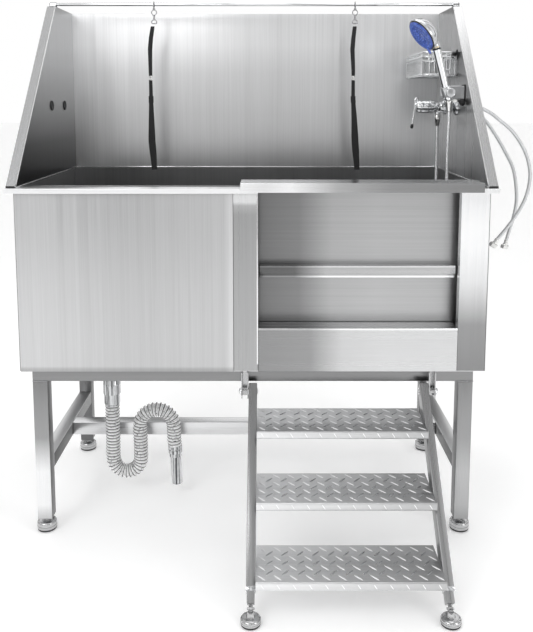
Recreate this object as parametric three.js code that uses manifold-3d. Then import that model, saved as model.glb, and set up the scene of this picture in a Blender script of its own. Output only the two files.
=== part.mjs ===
// Free-standing stainless steel pet grooming tub: welded frame, tub with a sliding door,
// three-sided splash guard, grooming rod, mixer and hand shower, wire basket and ramp ladder.
// Millimetres, +Z up, +X to the right of someone who faces the door, -Y towards them.
import * as THREE from 'three';
import { mergeVertices } from 'three/addons/utils/BufferGeometryUtils.js';
import Module from 'manifold-3d';

const wasm = await Module();
wasm.setup();

// ---------------------------------------------------------------- driving dimensions

const GAP = 0.3; // between pieces that touch
const SHEET = 1.5; // thickness of every folded sheet
const TUB_Y = 180; // the tub's own middle, behind the middle of tub and ladder together

const RIM_HALF = 635; // half the rim's width
const RIM_HALF_DEPTH = 340;
const RIM_TOP = 955;
const RIM_LIP = 13;
const RIM_SHELF = 48; // depth of the front rim

const WALL_HALF = 616; // outer face of the side walls
const WALL_FRONT = -325;
const WALL_BACK = 310;

const TUBE = 40; // square frame tube
const FRAME_HALF = 592;
const FRAME_FRONT = -302;
const FRAME_BACK = 230;
const FRAME_TOP = 465;
const FRAME_BAR = 35; // height of the top bars
const STRETCHER_Z = 168;
const LEG_BOTTOM = 36;
const FLOOR_Z = FRAME_TOP + GAP;

const OPENING_LEFT = 15;
const OPENING_RIGHT = 541;
const SILL_TOP = 583;
const POST_WIDTH = 65;
const POST_DEPTH = 25;
const DOOR_Y = -262; // front face of the door sheet
const TRACK_Y = -268;
const TRACK_WIDTH = 17.5;

const GUARD_HALF = 610;
const GUARD_TOP = 1465;
const GUARD_TOP_FRONT = 112; // where the sloping edge meets the top
const GUARD_FLANGE = 25;

const ROD_Y = 135;
const ROD_Z = 1474;
const ROD_RADIUS = 5;
const LOOP_X = 311;

const INLETS = [33, 178]; // the two supply shanks, 145 apart
const MIXER_X = 568;
const MIXER_Y = 105.5;
const MIXER_Z = 1160;

const DRAIN_X = -422;
const DRAIN_Y = -95;

const HINGE_Y = -322.3; // ladder pins
const HINGE_Z = 410;
const LEAN = THREE.MathUtils.degToRad(42.5);
const LADDER_X = 228;
const LADDER_WIDTH = 476;
const RAIL_WIDTH = 22;
const RAIL_DEPTH = 40;
const RAIL_END = 478; // from the pins, along the rail
const TREADS_Z = [354, 228, 102];
const TREAD_DEPTH = 150;
const BALL_Z = 24; // swivel of the ladder's feet

// ---------------------------------------------------------------- materials

const brushed = new THREE.MeshStandardMaterial({ color: 0xc4c6c8, roughness: 0.32, metalness: 1 });
const polished = new THREE.MeshStandardMaterial({ color: 0xd8dadc, roughness: 0.15, metalness: 1 });
const chrome = new THREE.MeshStandardMaterial({ color: 0xe6e8ea, roughness: 0.05, metalness: 1 });
const webbing = new THREE.MeshStandardMaterial({ color: 0x141414, roughness: 0.85, metalness: 0 });
const bluePlastic = new THREE.MeshStandardMaterial({ color: 0x4a62b8, roughness: 0.3, metalness: 0 });
const whitePlastic = new THREE.MeshStandardMaterial({ color: 0xe4e6e8, roughness: 0.3, metalness: 0 });
const braid = new THREE.MeshStandardMaterial({ color: 0xc8cacc, roughness: 0.4, metalness: 0.8 });

// ---------------------------------------------------------------- geometry helpers

function solid(geometry) {
  const bare = geometry.clone();
  bare.deleteAttribute('normal');
  bare.deleteAttribute('uv');
  const merged = mergeVertices(bare, 1e-4);
  return new wasm.Manifold(new wasm.Mesh({
    numProp: 3,
    vertProperties: new Float32Array(merged.attributes.position.array),
    triVerts: new Uint32Array(merged.index.array),
  }));
}

function toGeometry(manifold) {
  const mesh = manifold.getMesh();
  const geometry = new THREE.BufferGeometry();
  geometry.setAttribute('position', new THREE.BufferAttribute(new Float32Array(mesh.vertProperties), 3));
  geometry.setIndex(new THREE.BufferAttribute(new Uint32Array(mesh.triVerts), 1));
  return geometry;
}

function joined(...geometries) {
  return toGeometry(geometries.map(solid).reduce((whole, next) => whole.add(next)));
}

function cut(geometry, ...tools) {
  return toGeometry(tools.map(solid).reduce((whole, tool) => whole.subtract(tool), solid(geometry)));
}

function box(x0, x1, y0, y1, z0, z1) {
  const geometry = new THREE.BoxGeometry(Math.abs(x1 - x0), Math.abs(y1 - y0), Math.abs(z1 - z0));
  return geometry.translate((x0 + x1) / 2, (y0 + y1) / 2, (z0 + z1) / 2);
}

// A round bar from one point to another; endRadius makes it a cone.
function bar(from, to, radius, endRadius = radius, sides = 16) {
  const start = new THREE.Vector3(...from);
  const along = new THREE.Vector3(...to).sub(start);
  const geometry = new THREE.CylinderGeometry(endRadius, radius, along.length(), sides);
  geometry.translate(0, along.length() / 2, 0);
  const turn = new THREE.Quaternion().setFromUnitVectors(new THREE.Vector3(0, 1, 0), along.normalize());
  return geometry.applyQuaternion(turn).translate(...from);
}

function extruded(points, depth, xAxis, yAxis) {
  const shape = new THREE.Shape(points.map(([u, v]) => new THREE.Vector2(u, v)));
  const geometry = new THREE.ExtrudeGeometry(shape, { depth, bevelEnabled: false });
  const zAxis = new THREE.Vector3().crossVectors(xAxis, yAxis);
  return geometry.applyMatrix4(new THREE.Matrix4().makeBasis(xAxis, yAxis, zAxis));
}

const X = new THREE.Vector3(1, 0, 0);
const Y = new THREE.Vector3(0, 1, 0);
const Z = new THREE.Vector3(0, 0, 1);

// Outlines drawn as [y, z], [x, z] and [x, y], pushed along the third axis.
const alongX = (points, x0, x1) => extruded(points, Math.abs(x1 - x0), Y, Z).translate(Math.min(x0, x1), 0, 0);
const alongY = (points, y0, y1) => extruded(points, y1 - y0, X, Z).translate(0, y1, 0);
const alongZ = (points, z0, z1) => extruded(points, z1 - z0, X, Y).translate(0, 0, z0);

// The outline of a folded sheet: one face's line, and the same line set off to its left.
function folded(points, thickness = SHEET) {
  const corners = points.map(([u, v]) => new THREE.Vector2(u, v));
  const normals = corners.slice(1).map((corner, i) => {
    const run = corner.clone().sub(corners[i]).normalize();
    return new THREE.Vector2(-run.y, run.x);
  });
  const offset = corners.map((corner, i) => {
    const before = normals[Math.max(i - 1, 0)];
    const after = normals[Math.min(i, normals.length - 1)];
    const mitre = before.clone().add(after).multiplyScalar(thickness / (1 + before.dot(after)));
    return [corner.x + mitre.x, corner.y + mitre.y];
  });
  return [...points, ...offset.reverse()];
}

// A solid of revolution about +Z through the origin; the profile is a list of [radius, z].
function turned(profile, sides = 24) {
  const points = profile.map(([r, z]) => new THREE.Vector2(r, z));
  return new THREE.LatheGeometry(points, sides).rotateX(Math.PI / 2);
}

function arc(cx, cy, radius, fromDeg, toDeg, steps) {
  return Array.from({ length: steps + 1 }, (_, i) => {
    const angle = THREE.MathUtils.degToRad(fromDeg + (toDeg - fromDeg) * i / steps);
    return [cx + radius * Math.cos(angle), cy + radius * Math.sin(angle)];
  });
}

// A round tube through the given points.
function hose(points, radius, sides, steps) {
  const path = new THREE.CatmullRomCurve3(points.map((p) => new THREE.Vector3(...p)));
  const ring = new THREE.Shape(arc(0, 0, radius, 0, 360 - 360 / sides, sides - 1)
    .map(([u, v]) => new THREE.Vector2(u, v)));
  return new THREE.ExtrudeGeometry(ring, { steps, bevelEnabled: false, extrudePath: path });
}

function add(parent, name, geometry, material) {
  const mesh = new THREE.Mesh(geometry, material);
  mesh.name = name;
  parent.add(mesh);
  return mesh;
}

const SIDES = [['left', -1], ['right', 1]];
const ENDS = [['front', FRAME_FRONT], ['back', FRAME_BACK - TUBE]];

const tub = new THREE.Group();
tub.position.y = TUB_Y;

// ---------------------------------------------------------------- frame

function topFrame() {
  const low = FRAME_TOP - FRAME_BAR;
  const inner = FRAME_HALF - TUBE;
  const outside = box(-FRAME_HALF, FRAME_HALF, FRAME_FRONT, FRAME_BACK, low, FRAME_TOP);
  const window = box(-inner, inner, FRAME_FRONT + TUBE, FRAME_BACK - TUBE, low - 1, FRAME_TOP + 1);
  const channel = cut(
    box(SHEET - FRAME_HALF, FRAME_HALF - SHEET, FRAME_FRONT + SHEET, FRAME_BACK - SHEET,
      low + SHEET, FRAME_TOP - SHEET),
    box(-inner - SHEET, inner + SHEET, FRAME_FRONT + TUBE - SHEET, FRAME_BACK - TUBE + SHEET, low, FRAME_TOP),
  );
  // The bars are hollow, and open into the legs that are welded under their corners.
  const weldHoles = SIDES.flatMap(([, side]) => ENDS.map(([, y]) => {
    const x = side * (FRAME_HALF - TUBE / 2);
    return box(x - 15, x + 15, y + 5, y + TUBE - 5, low - 1, low + 3);
  }));
  return cut(outside, window, channel, ...weldHoles);
}

function leg(x, y) {
  const top = FRAME_TOP - FRAME_BAR - GAP;
  const half = TUBE / 2;
  const bore = half - SHEET;
  return cut(
    box(x - half, x + half, y - half, y + half, LEG_BOTTOM, top),
    box(x - bore, x + bore, y - bore, y + bore, LEG_BOTTOM + 6, top + 1),
    bar([x, y, LEG_BOTTOM - 1], [x, y, LEG_BOTTOM + 7], 6.5),
  );
}

function lowerFrame() {
  const front = FRAME_FRONT + TUBE + GAP;
  const back = FRAME_BACK - TUBE - GAP;
  const middle = (FRAME_FRONT + FRAME_BACK) / 2;
  const inner = FRAME_HALF - TUBE;
  const bars = (wall, past) => joined(
    ...SIDES.map(([, side]) => {
      const x = side * (FRAME_HALF - TUBE / 2);
      const half = TUBE / 2 - wall;
      return box(x - half, x + half, front - past, back + past, STRETCHER_Z + wall, STRETCHER_Z + TUBE - wall);
    }),
    box(-inner - TUBE / 2, inner + TUBE / 2, middle - TUBE / 2 + wall, middle + TUBE / 2 - wall,
      STRETCHER_Z + wall, STRETCHER_Z + TUBE - wall),
  );
  return cut(bars(0, 0), bars(SHEET, 1));
}

function levellingFoot() {
  return turned([[0, 0], [25, 0], [27, 3], [27, 23], [21, 30], [6, 30], [6, 90], [0, 90]]);
}

add(tub, 'top_frame', topFrame(), brushed);
add(tub, 'lower_frame', lowerFrame(), brushed);
for (const [side, sign] of SIDES) {
  for (const [end, y] of ENDS) {
    const legX = sign * (FRAME_HALF - TUBE / 2);
    const legY = y + TUBE / 2;
    add(tub, `${end}_${side}_leg`, leg(legX, legY), brushed);
    add(tub, `${end}_${side}_foot`, levellingFoot(), polished).position.set(legX, legY, 0);
  }
}

// ---------------------------------------------------------------- tub

const WALL_FOOT = FLOOR_Z + SHEET + GAP;
const RIM_UNDER = RIM_TOP - SHEET;
const RIM_LOW = RIM_TOP - RIM_LIP;

// A side wall with its rim folded outwards and down.
function sideWall(sign) {
  const front = RIM_SHELF - RIM_HALF_DEPTH + GAP;
  const back = WALL_BACK - SHEET - GAP;
  const section = folded([
    [WALL_HALF, WALL_FOOT], [WALL_HALF, RIM_UNDER],
    [RIM_HALF - SHEET, RIM_UNDER], [RIM_HALF - SHEET, RIM_LOW],
  ]).map(([x, z]) => [sign * x, z]);
  return joined(
    box(sign * (WALL_HALF - SHEET), sign * WALL_HALF, WALL_FRONT, back, WALL_FOOT, RIM_UNDER - GAP),
    alongY(section, front, back),
  );
}

function backWall() {
  return joined(
    box(-WALL_HALF, WALL_HALF, WALL_BACK - SHEET, WALL_BACK, WALL_FOOT, RIM_UNDER),
    alongX(folded([
      [WALL_BACK - SHEET, RIM_UNDER], [RIM_HALF_DEPTH - SHEET, RIM_UNDER], [RIM_HALF_DEPTH - SHEET, RIM_LOW],
    ]), -RIM_HALF, RIM_HALF),
  );
}

function tubFloor() {
  const edge = WALL_HALF - SHEET - GAP;
  return cut(
    box(-edge, edge, WALL_FRONT + SHEET + GAP, WALL_BACK - SHEET - GAP, FLOOR_Z, FLOOR_Z + SHEET),
    bar([DRAIN_X, DRAIN_Y, FLOOR_Z - 1], [DRAIN_X, DRAIN_Y, FLOOR_Z + 3], 26),
  );
}

function frontPanel() {
  const right = OPENING_LEFT - POST_WIDTH - GAP;
  return alongX(folded([
    [WALL_FRONT + 20, RIM_UNDER - GAP], [WALL_FRONT, RIM_UNDER - GAP], [WALL_FRONT, FLOOR_Z],
  ]), SHEET + GAP - WALL_HALF, right);
}

function post(x0, x1) {
  const y0 = WALL_FRONT;
  return alongZ([
    [x0, y0 + POST_DEPTH], [x0, y0], [x1, y0], [x1, y0 + POST_DEPTH],
    [x1 - SHEET, y0 + POST_DEPTH], [x1 - SHEET, y0 + SHEET], [x0 + SHEET, y0 + SHEET],
    [x0 + SHEET, y0 + POST_DEPTH],
  ], WALL_FOOT, RIM_UNDER - GAP);
}

// The rim's front run is folded down at its outer edge.
function frontRim(x0, x1) {
  const inner = RIM_SHELF - RIM_HALF_DEPTH;
  return alongX([
    [-RIM_HALF_DEPTH, RIM_LOW], [SHEET - RIM_HALF_DEPTH, RIM_LOW],
    [SHEET - RIM_HALF_DEPTH, RIM_UNDER], [inner, RIM_UNDER], [inner, RIM_TOP],
    [-RIM_HALF_DEPTH, RIM_TOP],
  ], x0, x1);
}

// The right post carries the short run of rim at its head.
function rightPost() {
  const right = WALL_HALF - SHEET - GAP;
  return joined(
    post(OPENING_RIGHT, right),
    box(OPENING_RIGHT, right, WALL_FRONT, WALL_FRONT + POST_DEPTH, RIM_UNDER - SHEET, RIM_TOP - SHEET / 2),
    frontRim(OPENING_RIGHT, RIM_HALF),
  );
}

function doorSill() {
  return alongX(folded([
    [TRACK_Y - GAP, SILL_TOP - 18], [TRACK_Y - GAP, SILL_TOP],
    [WALL_FRONT, SILL_TOP], [WALL_FRONT, FLOOR_Z],
  ]), OPENING_LEFT + GAP, OPENING_RIGHT - GAP);
}

// The channel that the door runs in; its far side goes down to the floor as the basin's inner sill.
function doorTrack() {
  const low = SILL_TOP - 24;
  const far = TRACK_Y + TRACK_WIDTH;
  return alongX([
    [TRACK_Y, SILL_TOP], [TRACK_Y, low], [far - SHEET, low], [far - SHEET, WALL_FOOT], [far, WALL_FOOT],
    [far, SILL_TOP + 8], [far - SHEET, SILL_TOP + 8], [far - SHEET, low + SHEET],
    [TRACK_Y + SHEET, low + SHEET], [TRACK_Y + SHEET, SILL_TOP],
  ], 3 - WALL_HALF, WALL_HALF - 3);
}

function innerPanel() {
  const y = TRACK_Y + TRACK_WIDTH + GAP;
  return box(3 - WALL_HALF, OPENING_LEFT, y, y + SHEET, WALL_FOOT, RIM_UNDER - GAP);
}

function drainSocket() {
  const bore = 18;
  return turned([
    [bore, 286], [23, 286], [23, 316], [25.5, 316], [25.5, WALL_FOOT],
    [38, WALL_FOOT], [38, WALL_FOOT + 2.5], [bore, WALL_FOOT + 2.5],
    [bore, 286],
  ], 24);
}

function drainStrainer() {
  const seat = WALL_FOOT + GAP + 2.5;
  return turned([[0, seat - 14], [15, seat - 14], [15, seat], [30, seat], [30, seat + 2], [24, seat + 4],
    [5, seat + 4], [5, seat + 12], [0, seat + 12]], 24);
}

add(tub, 'tub_floor', tubFloor(), brushed);
for (const [side, sign] of SIDES) add(tub, `${side}_wall`, sideWall(sign), brushed);
add(tub, 'back_wall', backWall(), brushed);
add(tub, 'front_panel', frontPanel(), brushed);
add(tub, 'centre_post', post(OPENING_LEFT - POST_WIDTH, OPENING_LEFT), brushed);
add(tub, 'right_post', rightPost(), brushed);
add(tub, 'front_rim', frontRim(-RIM_HALF, OPENING_LEFT), brushed);
add(tub, 'door_sill', doorSill(), brushed);
add(tub, 'door_track', doorTrack(), brushed);
add(tub, 'inner_panel', innerPanel(), brushed);
add(tub, 'drain_socket', drainSocket(), chrome).position.set(DRAIN_X, DRAIN_Y, 0);
add(tub, 'drain_strainer', drainStrainer(), chrome).position.set(DRAIN_X, DRAIN_Y, 0);

// ---------------------------------------------------------------- sliding door

const DOOR_LEFT = OPENING_LEFT - 12;
const DOOR_RIGHT = OPENING_RIGHT + 12;
const DOOR_BOTTOM = SILL_TOP - 21;
const CAP_BOTTOM = 945;
const CAP_TOP = 970;

function doorPanel() {
  return box(DOOR_LEFT, DOOR_RIGHT, DOOR_Y, DOOR_Y + SHEET, DOOR_BOTTOM, CAP_TOP - SHEET - GAP);
}

function doorRail() {
  const back = DOOR_Y - GAP;
  return alongX([
    [back, 711], [back, 745], [back - 33, 745], [back - 33, 722], [back - 28, 722], [back - 28, 711],
  ], OPENING_LEFT + 3, OPENING_RIGHT - 3);
}

// A folded cap along the door's head, which straddles the rim and is the hand grip.
function doorCap() {
  return alongX(folded([
    [-RIM_HALF_DEPTH - 5, CAP_BOTTOM], [-RIM_HALF_DEPTH - 5, CAP_TOP], [DOOR_Y + 6, CAP_TOP],
    [DOOR_Y + 6, CAP_TOP - 14],
  ].reverse()), -30, 594);
}

const door = new THREE.Group();
tub.add(door);
add(door, 'door_panel', doorPanel(), brushed);
add(door, 'door_rail', doorRail(), brushed);
add(door, 'door_cap', doorCap(), brushed);

// ---------------------------------------------------------------- splash guard

const GUARD_BOTTOM = RIM_TOP + GAP;

function guardSide(sign, holes) {
  const outline = [
    [WALL_FRONT, GUARD_BOTTOM], [WALL_BACK - SHEET - GAP, GUARD_BOTTOM], [WALL_BACK - SHEET - GAP, GUARD_TOP],
    [GUARD_TOP_FRONT, GUARD_TOP],
  ];
  const outer = sign * GUARD_HALF;
  const inner = sign * (GUARD_HALF - SHEET);
  const panel = alongX(outline, inner, outer);
  return holes.length ? cut(panel, ...holes) : panel;
}

// The guard's stiffening flange runs up the sloping edge and back along the top.
function guardFlange(sign) {
  const rise = GUARD_TOP - GUARD_BOTTOM;
  const inset = GAP * 2;
  const line = folded([
    [WALL_FRONT + inset, GUARD_BOTTOM + 1], [GUARD_TOP_FRONT + inset * (WALL_FRONT / rise), GUARD_TOP - SHEET],
    [WALL_BACK - SHEET - GAP, GUARD_TOP - SHEET],
  ]);
  return alongX(line, sign * (GUARD_HALF + GAP), sign * (GUARD_HALF + GUARD_FLANGE));
}

function guardBack() {
  return alongX(folded([
    [WALL_BACK + SHEET * 12, GUARD_TOP], [WALL_BACK - SHEET, GUARD_TOP], [WALL_BACK - SHEET, GUARD_BOTTOM],
  ]), -GUARD_HALF, GUARD_HALF);
}

const shankHoles = INLETS.map((y) => bar([GUARD_HALF - 5, y, MIXER_Z], [GUARD_HALF + 5, y, MIXER_Z], 10.8));
add(tub, 'back_guard', guardBack(), brushed);
add(tub, 'left_guard', guardSide(-1, []), brushed);
add(tub, 'right_guard', guardSide(1, shankHoles), brushed);
for (const [side, sign] of SIDES) add(tub, `${side}_guard_flange`, guardFlange(sign), brushed);

// ---------------------------------------------------------------- grooming rod and loops

function rodClip(sign) {
  const reach = ROD_RADIUS + GAP;
  const foot = GUARD_TOP + GAP;
  const saddle = folded([
    [ROD_Y + 22, foot], [ROD_Y + reach + 2.5, foot], ...arc(ROD_Y, ROD_Z, reach, -20, 200, 8),
    [ROD_Y - reach - 2.5, foot], [ROD_Y - 22, foot],
  ].reverse(), 1.8);
  return alongX(saddle, sign * (GUARD_HALF + 3), sign * (GUARD_HALF + 19));
}

// A split ring round the rod, a swivel barrel under it and the bow that the strap hangs from.
function loopSwivel() {
  const ring = new THREE.TorusGeometry(9, 1.8, 6, 20).rotateY(Math.PI / 2).translate(0, 0, -1.8);
  return joined(
    ring,
    bar([0, 0, -12], [0, 0, -30], 3.5),
    bar([0, 0, -24], [0, 0, -42], 5),
    bar([0, 0, -40], [0, 0, -58], 2.5),
    bar([-8, 0, -58], [8, 0, -58], 2.5),
  );
}

// How far each strap sways to the right of its ring, as [way down, sway].
const LEFT_SWAY = [[0, -5], [0.08, -11], [0.16, -14.5], [0.8, -13.5], [0.9, -10], [1, -7]];
const RIGHT_SWAY = [[0, 0], [0.08, -4], [0.16, -6.5], [0.3, -3], [0.5, -2.5], [0.62, 1.5], [0.8, 5.5], [0.9, 9], [1, 13]];

function between(table, t) {
  const next = Math.max(1, table.findIndex(([way]) => way >= t));
  const [[from, a], [to, b]] = [table[next - 1], table[next]];
  return THREE.MathUtils.lerp(a, b, (t - from) / (to - from));
}

// A flat webbing strap that hangs in a slight S and is wider towards its foot.
function loopStrap(sign) {
  const top = 1408;
  const foot = 962;
  const steps = 24;
  const edge = (side) => Array.from({ length: steps + 1 }, (_, i) => {
    const t = i / steps;
    const half = 6.5 + 4.8 * Math.exp(-(((t - 0.81) / 0.15) ** 2));
    return [LOOP_X * sign + between(sign < 0 ? LEFT_SWAY : RIGHT_SWAY, t) + side * half, top + (foot - top) * t];
  });
  return alongY([...edge(-1), ...edge(1).reverse()], ROD_Y - 1.5, ROD_Y + 1.5);
}

add(tub, 'grooming_rod', bar([-628, ROD_Y, ROD_Z], [628, ROD_Y, ROD_Z], ROD_RADIUS), chrome);
for (const [side, sign] of SIDES) {
  add(tub, `${side}_rod_clip`, rodClip(sign), chrome);
  add(tub, `${side}_loop_swivel`, loopSwivel(), chrome).position.set(sign * LOOP_X, ROD_Y, ROD_Z);
  add(tub, `${side}_loop_strap`, loopStrap(sign), webbing);
}

// ---------------------------------------------------------------- mixer, holder and hand shower

const WALL_FACE = GUARD_HALF - SHEET;

function mixerBody() {
  const shanks = INLETS.flatMap((y) => [
    bar([MIXER_X, y, MIXER_Z], [RIM_HALF - 1, y, MIXER_Z], 10),
    bar([WALL_FACE - 12, y, MIXER_Z], [WALL_FACE - GAP, y, MIXER_Z], 20, 25),
  ]);
  return joined(
    ...shanks,
    bar([MIXER_X, INLETS[0] - 25, MIXER_Z], [MIXER_X, INLETS[1] + 25, MIXER_Z], 17),
    bar([MIXER_X, MIXER_Y, MIXER_Z], [516, MIXER_Y, MIXER_Z], 20),
    bar([MIXER_X, MIXER_Y, MIXER_Z], [MIXER_X, MIXER_Y, MIXER_Z - 24], 9),
  );
}

function mixerLever() {
  return joined(
    bar([516 - GAP, MIXER_Y, MIXER_Z], [498, MIXER_Y, MIXER_Z], 19, 15),
    bar([505, MIXER_Y, MIXER_Z + 28], [488, MIXER_Y - 5, MIXER_Z - 64], 3.2),
    new THREE.SphereGeometry(5, 12, 8).translate(488, MIXER_Y - 5, MIXER_Z - 64),
  );
}

const HOLDER_X = 562;
const HOLDER_Z = 1202;
const HOLDER_FRONT = -62;

function holderBase() {
  return alongY([
    [WALL_FACE - GAP, HOLDER_Z + 19.5], ...arc(HOLDER_X, HOLDER_Z, 19.5, 90, 270, 12),
    [WALL_FACE - GAP, HOLDER_Z - 19.5],
  ], HOLDER_FRONT, HOLDER_FRONT + 30);
}

// The handset's axis, from the foot of the handle to the neck.
const HANDLE_FOOT = new THREE.Vector3(554, -92, 1180);
const HANDLE_NECK = new THREE.Vector3(512, -105, 1330);
const alongHandle = (t) => HANDLE_FOOT.clone().lerp(HANDLE_NECK, t).toArray();

function holderClip() {
  return cut(
    joined(
      bar([HOLDER_X - 2, HOLDER_FRONT - GAP, HOLDER_Z], [HOLDER_X - 2, HOLDER_FRONT - 24, HOLDER_Z], 14),
      bar(alongHandle(0.06), alongHandle(0.26), 14.5, 15.5),
    ),
    bar(alongHandle(-0.2), alongHandle(0.5), 10.6, 11.6),
  );
}

// The spray head faces down and towards the tub's middle.
const HEAD = new THREE.Vector3(468.5, -118, 1359);
const FACE = new THREE.Vector3(-0.766, -0.228, -0.603).normalize();
const headPoint = (distance) => HEAD.clone().addScaledVector(FACE, distance).toArray();

function handset() {
  const head = turned([[0, 36], [18, 35], [34, 28], [46, 14], [50, 4], [50, 0], [0, 0]].reverse(), 28);
  const back = FACE.clone().negate();
  head.applyQuaternion(new THREE.Quaternion().setFromUnitVectors(Z, back)).translate(...HEAD.toArray());
  const neck = HEAD.clone().addScaledVector(FACE, -20);
  return joined(
    head,
    bar(alongHandle(0), alongHandle(1), 9.4, 11.6),
    bar(alongHandle(0.93), neck.toArray(), 11, 13),
  );
}

function spraySelector() {
  const tabWay = new THREE.Vector3(-0.3, 0, -1);
  tabWay.addScaledVector(FACE, -tabWay.dot(FACE)).normalize();
  const tabFrom = HEAD.clone().addScaledVector(FACE, 3).addScaledVector(tabWay, 40);
  const tabTo = tabFrom.clone().addScaledVector(tabWay, 20);
  return joined(
    bar(headPoint(GAP), headPoint(5), 46, 44, 28),
    bar(tabFrom.toArray(), tabTo.toArray(), 2.4, 2.4, 12),
  );
}

add(tub, 'mixer_body', mixerBody(), chrome);
add(tub, 'mixer_lever', mixerLever(), chrome);
add(tub, 'holder_base', holderBase(), whitePlastic);
const showerArm = new THREE.Group();
tub.add(showerArm);
add(showerArm, 'holder_clip', holderClip(), whitePlastic);
add(showerArm, 'handset', handset(), chrome);
add(showerArm, 'spray_selector', spraySelector(), bluePlastic);

// ---------------------------------------------------------------- wire basket

function wireBasket() {
  const wire = 3;
  const [left, right, near, far, low, high] = [500, 606, 20, 300, 1250, 1325];
  const outline = (inset) => [
    [right - inset, near + inset], [right - inset, far - inset],
    ...arc(left + 25, far - 25, 25 - inset, 90, 180, 5),
    ...arc(left + 25, near + 25, 25 - inset, 180, 270, 5),
  ];
  return cut(alongZ(outline(0), low, high), alongZ(outline(wire), low + wire, high + 1));
}

add(tub, 'wire_basket', wireBasket(), chrome);

// ---------------------------------------------------------------- hoses

// Shower hose: down from the mixer, across the tub's floor and up to the handset.
const SHOWER_HOSE = [
  [568, 105.5, 1135.7], [568, 106, 1100], [569, 109, 1000], [570, 112, 850], [569, 112, 700], [566, 104, 580],
  [560, 80, 512], [551, 42, 486], [546, 0, 481], [546, -46, 488], [549, -82, 530], [552, -96, 620],
  [554, -98, 760], [554, -98, 900], [554, -96, 1040], [556, -93.5, 1130], [554.9, -91.7, 1176.8],
];

// Supply hoses: out of the mixer's shanks behind the right guard, over and down.
const HOT_HOSE = [
  [635, 33, 1160], [668, 33, 1160], [709, 36, 1144], [742, 40, 1120], [783, 44, 1086], [820, 47, 1034],
  [838, 50, 991], [845, 52, 945], [837, 54, 890], [818, 56, 844], [785, 58, 792], [752, 60, 749],
  [739, 61, 727],
];
const COLD_HOSE = [
  [635, 178, 1160], [668, 175, 1160], [700, 161, 1146], [728, 141, 1116], [760, 129, 1068], [788, 121, 1018],
  [811, 113, 969], [822, 111, 915], [825, 110, 858], [815, 110, 801], [803, 110, 757], [792, 110, 712],
];

// Drain hose: down, round a water trap, over a bend and down to its tail pipe.
const DRAIN_HOSE = [
  [DRAIN_X, DRAIN_Y, 285.7], [DRAIN_X, DRAIN_Y, 240], [DRAIN_X, DRAIN_Y, 180],
  ...arc(-381, 114, 41, 180, 360, 8).map(([x, z]) => [x, DRAIN_Y, z]),
  [-340, DRAIN_Y, 165],
  ...arc(-290, 215, 50, 180, 0, 8).map(([x, z]) => [x, DRAIN_Y, z]),
  [-239, DRAIN_Y, 170], [-236, DRAIN_Y, 121], [-233, DRAIN_Y, 80], [-232, DRAIN_Y, 35],
];

add(tub, 'shower_hose', hose(SHOWER_HOSE, 5, 8, 60), braid);
add(tub, 'hot_supply_hose', hose(HOT_HOSE, 5.5, 8, 24), braid);
add(tub, 'cold_supply_hose', hose(COLD_HOSE, 5.5, 8, 24), braid);
add(tub, 'drain_hose', hose(DRAIN_HOSE, 21.5, 10, 36), braid);

// ---------------------------------------------------------------- ladder

const RAIL_X = (LADDER_WIDTH - RAIL_WIDTH) / 2;
const PIN_RADIUS = 5;

// Brackets hang from the front bar, outside the rails, and hold the pins.
function ladderBracket(sign) {
  const inner = LADDER_X + sign * (LADDER_WIDTH / 2 + 1);
  const outer = LADDER_X + sign * (LADDER_WIDTH / 2 + 20);
  const face = FRAME_FRONT - GAP;
  const channel = alongZ(folded([
    [outer, face - 28], [outer, face], [inner, face], [inner, face - 28],
  ], sign * 3), 392, FRAME_TOP - 1);
  const pin = bar([outer, HINGE_Y, HINGE_Z],
    [LADDER_X + sign * (RAIL_X - RAIL_WIDTH / 2 - 3), HINGE_Y, HINGE_Z], PIN_RADIUS);
  return joined(channel, pin);
}

// Rails and telescopic legs are drawn upright, hung from the pins, and lean as a group.
function ladderRail() {
  const half = RAIL_WIDTH / 2;
  const deep = RAIL_DEPTH / 2;
  return cut(
    box(-half, half, -deep, deep, -RAIL_END, 16),
    box(SHEET - half, half - SHEET, SHEET - deep, deep - SHEET, -RAIL_END - 1, -20),
    bar([-half - 1, 0, 0], [half + 1, 0, 0], PIN_RADIUS + 0.4),
  );
}

function ladderLeg() {
  const half = RAIL_WIDTH / 2 - SHEET - 0.5;
  const deep = RAIL_DEPTH / 2 - SHEET - 0.5;
  const end = -RAIL_END - 26;
  return cut(
    box(-half, half, -deep, deep, end, -RAIL_END + 170),
    box(SHEET - half, half - SHEET, SHEET - deep, deep - SHEET, end + 6, -RAIL_END + 171),
    bar([0, 0, end - 1], [0, 0, end + 7], 5.4),
  );
}

// A foot's threaded stem follows the leg, and its disc swivels flat on the ground.
function ladderFoot() {
  const stem = bar([0, 0, 0], [0, 48 * Math.sin(LEAN), 48 * Math.cos(LEAN)], 5);
  return joined(
    turned([[0, -BALL_Z], [22, -BALL_Z], [24, -BALL_Z + 3], [24, -10], [18, -5], [0, -5]]),
    new THREE.SphereGeometry(8, 12, 8),
    stem,
  );
}

// A tread is a chequered plate folded down at both long edges.
function ladderTread() {
  const half = LADDER_WIDTH / 2 - RAIL_WIDTH - GAP;
  const deep = TREAD_DEPTH / 2;
  return alongX(folded([
    [deep - 8, -20], [deep, -20], [deep, 0], [-deep, 0], [-deep, -20], [8 - deep, -20],
  ], 2), -half, half);
}

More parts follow.
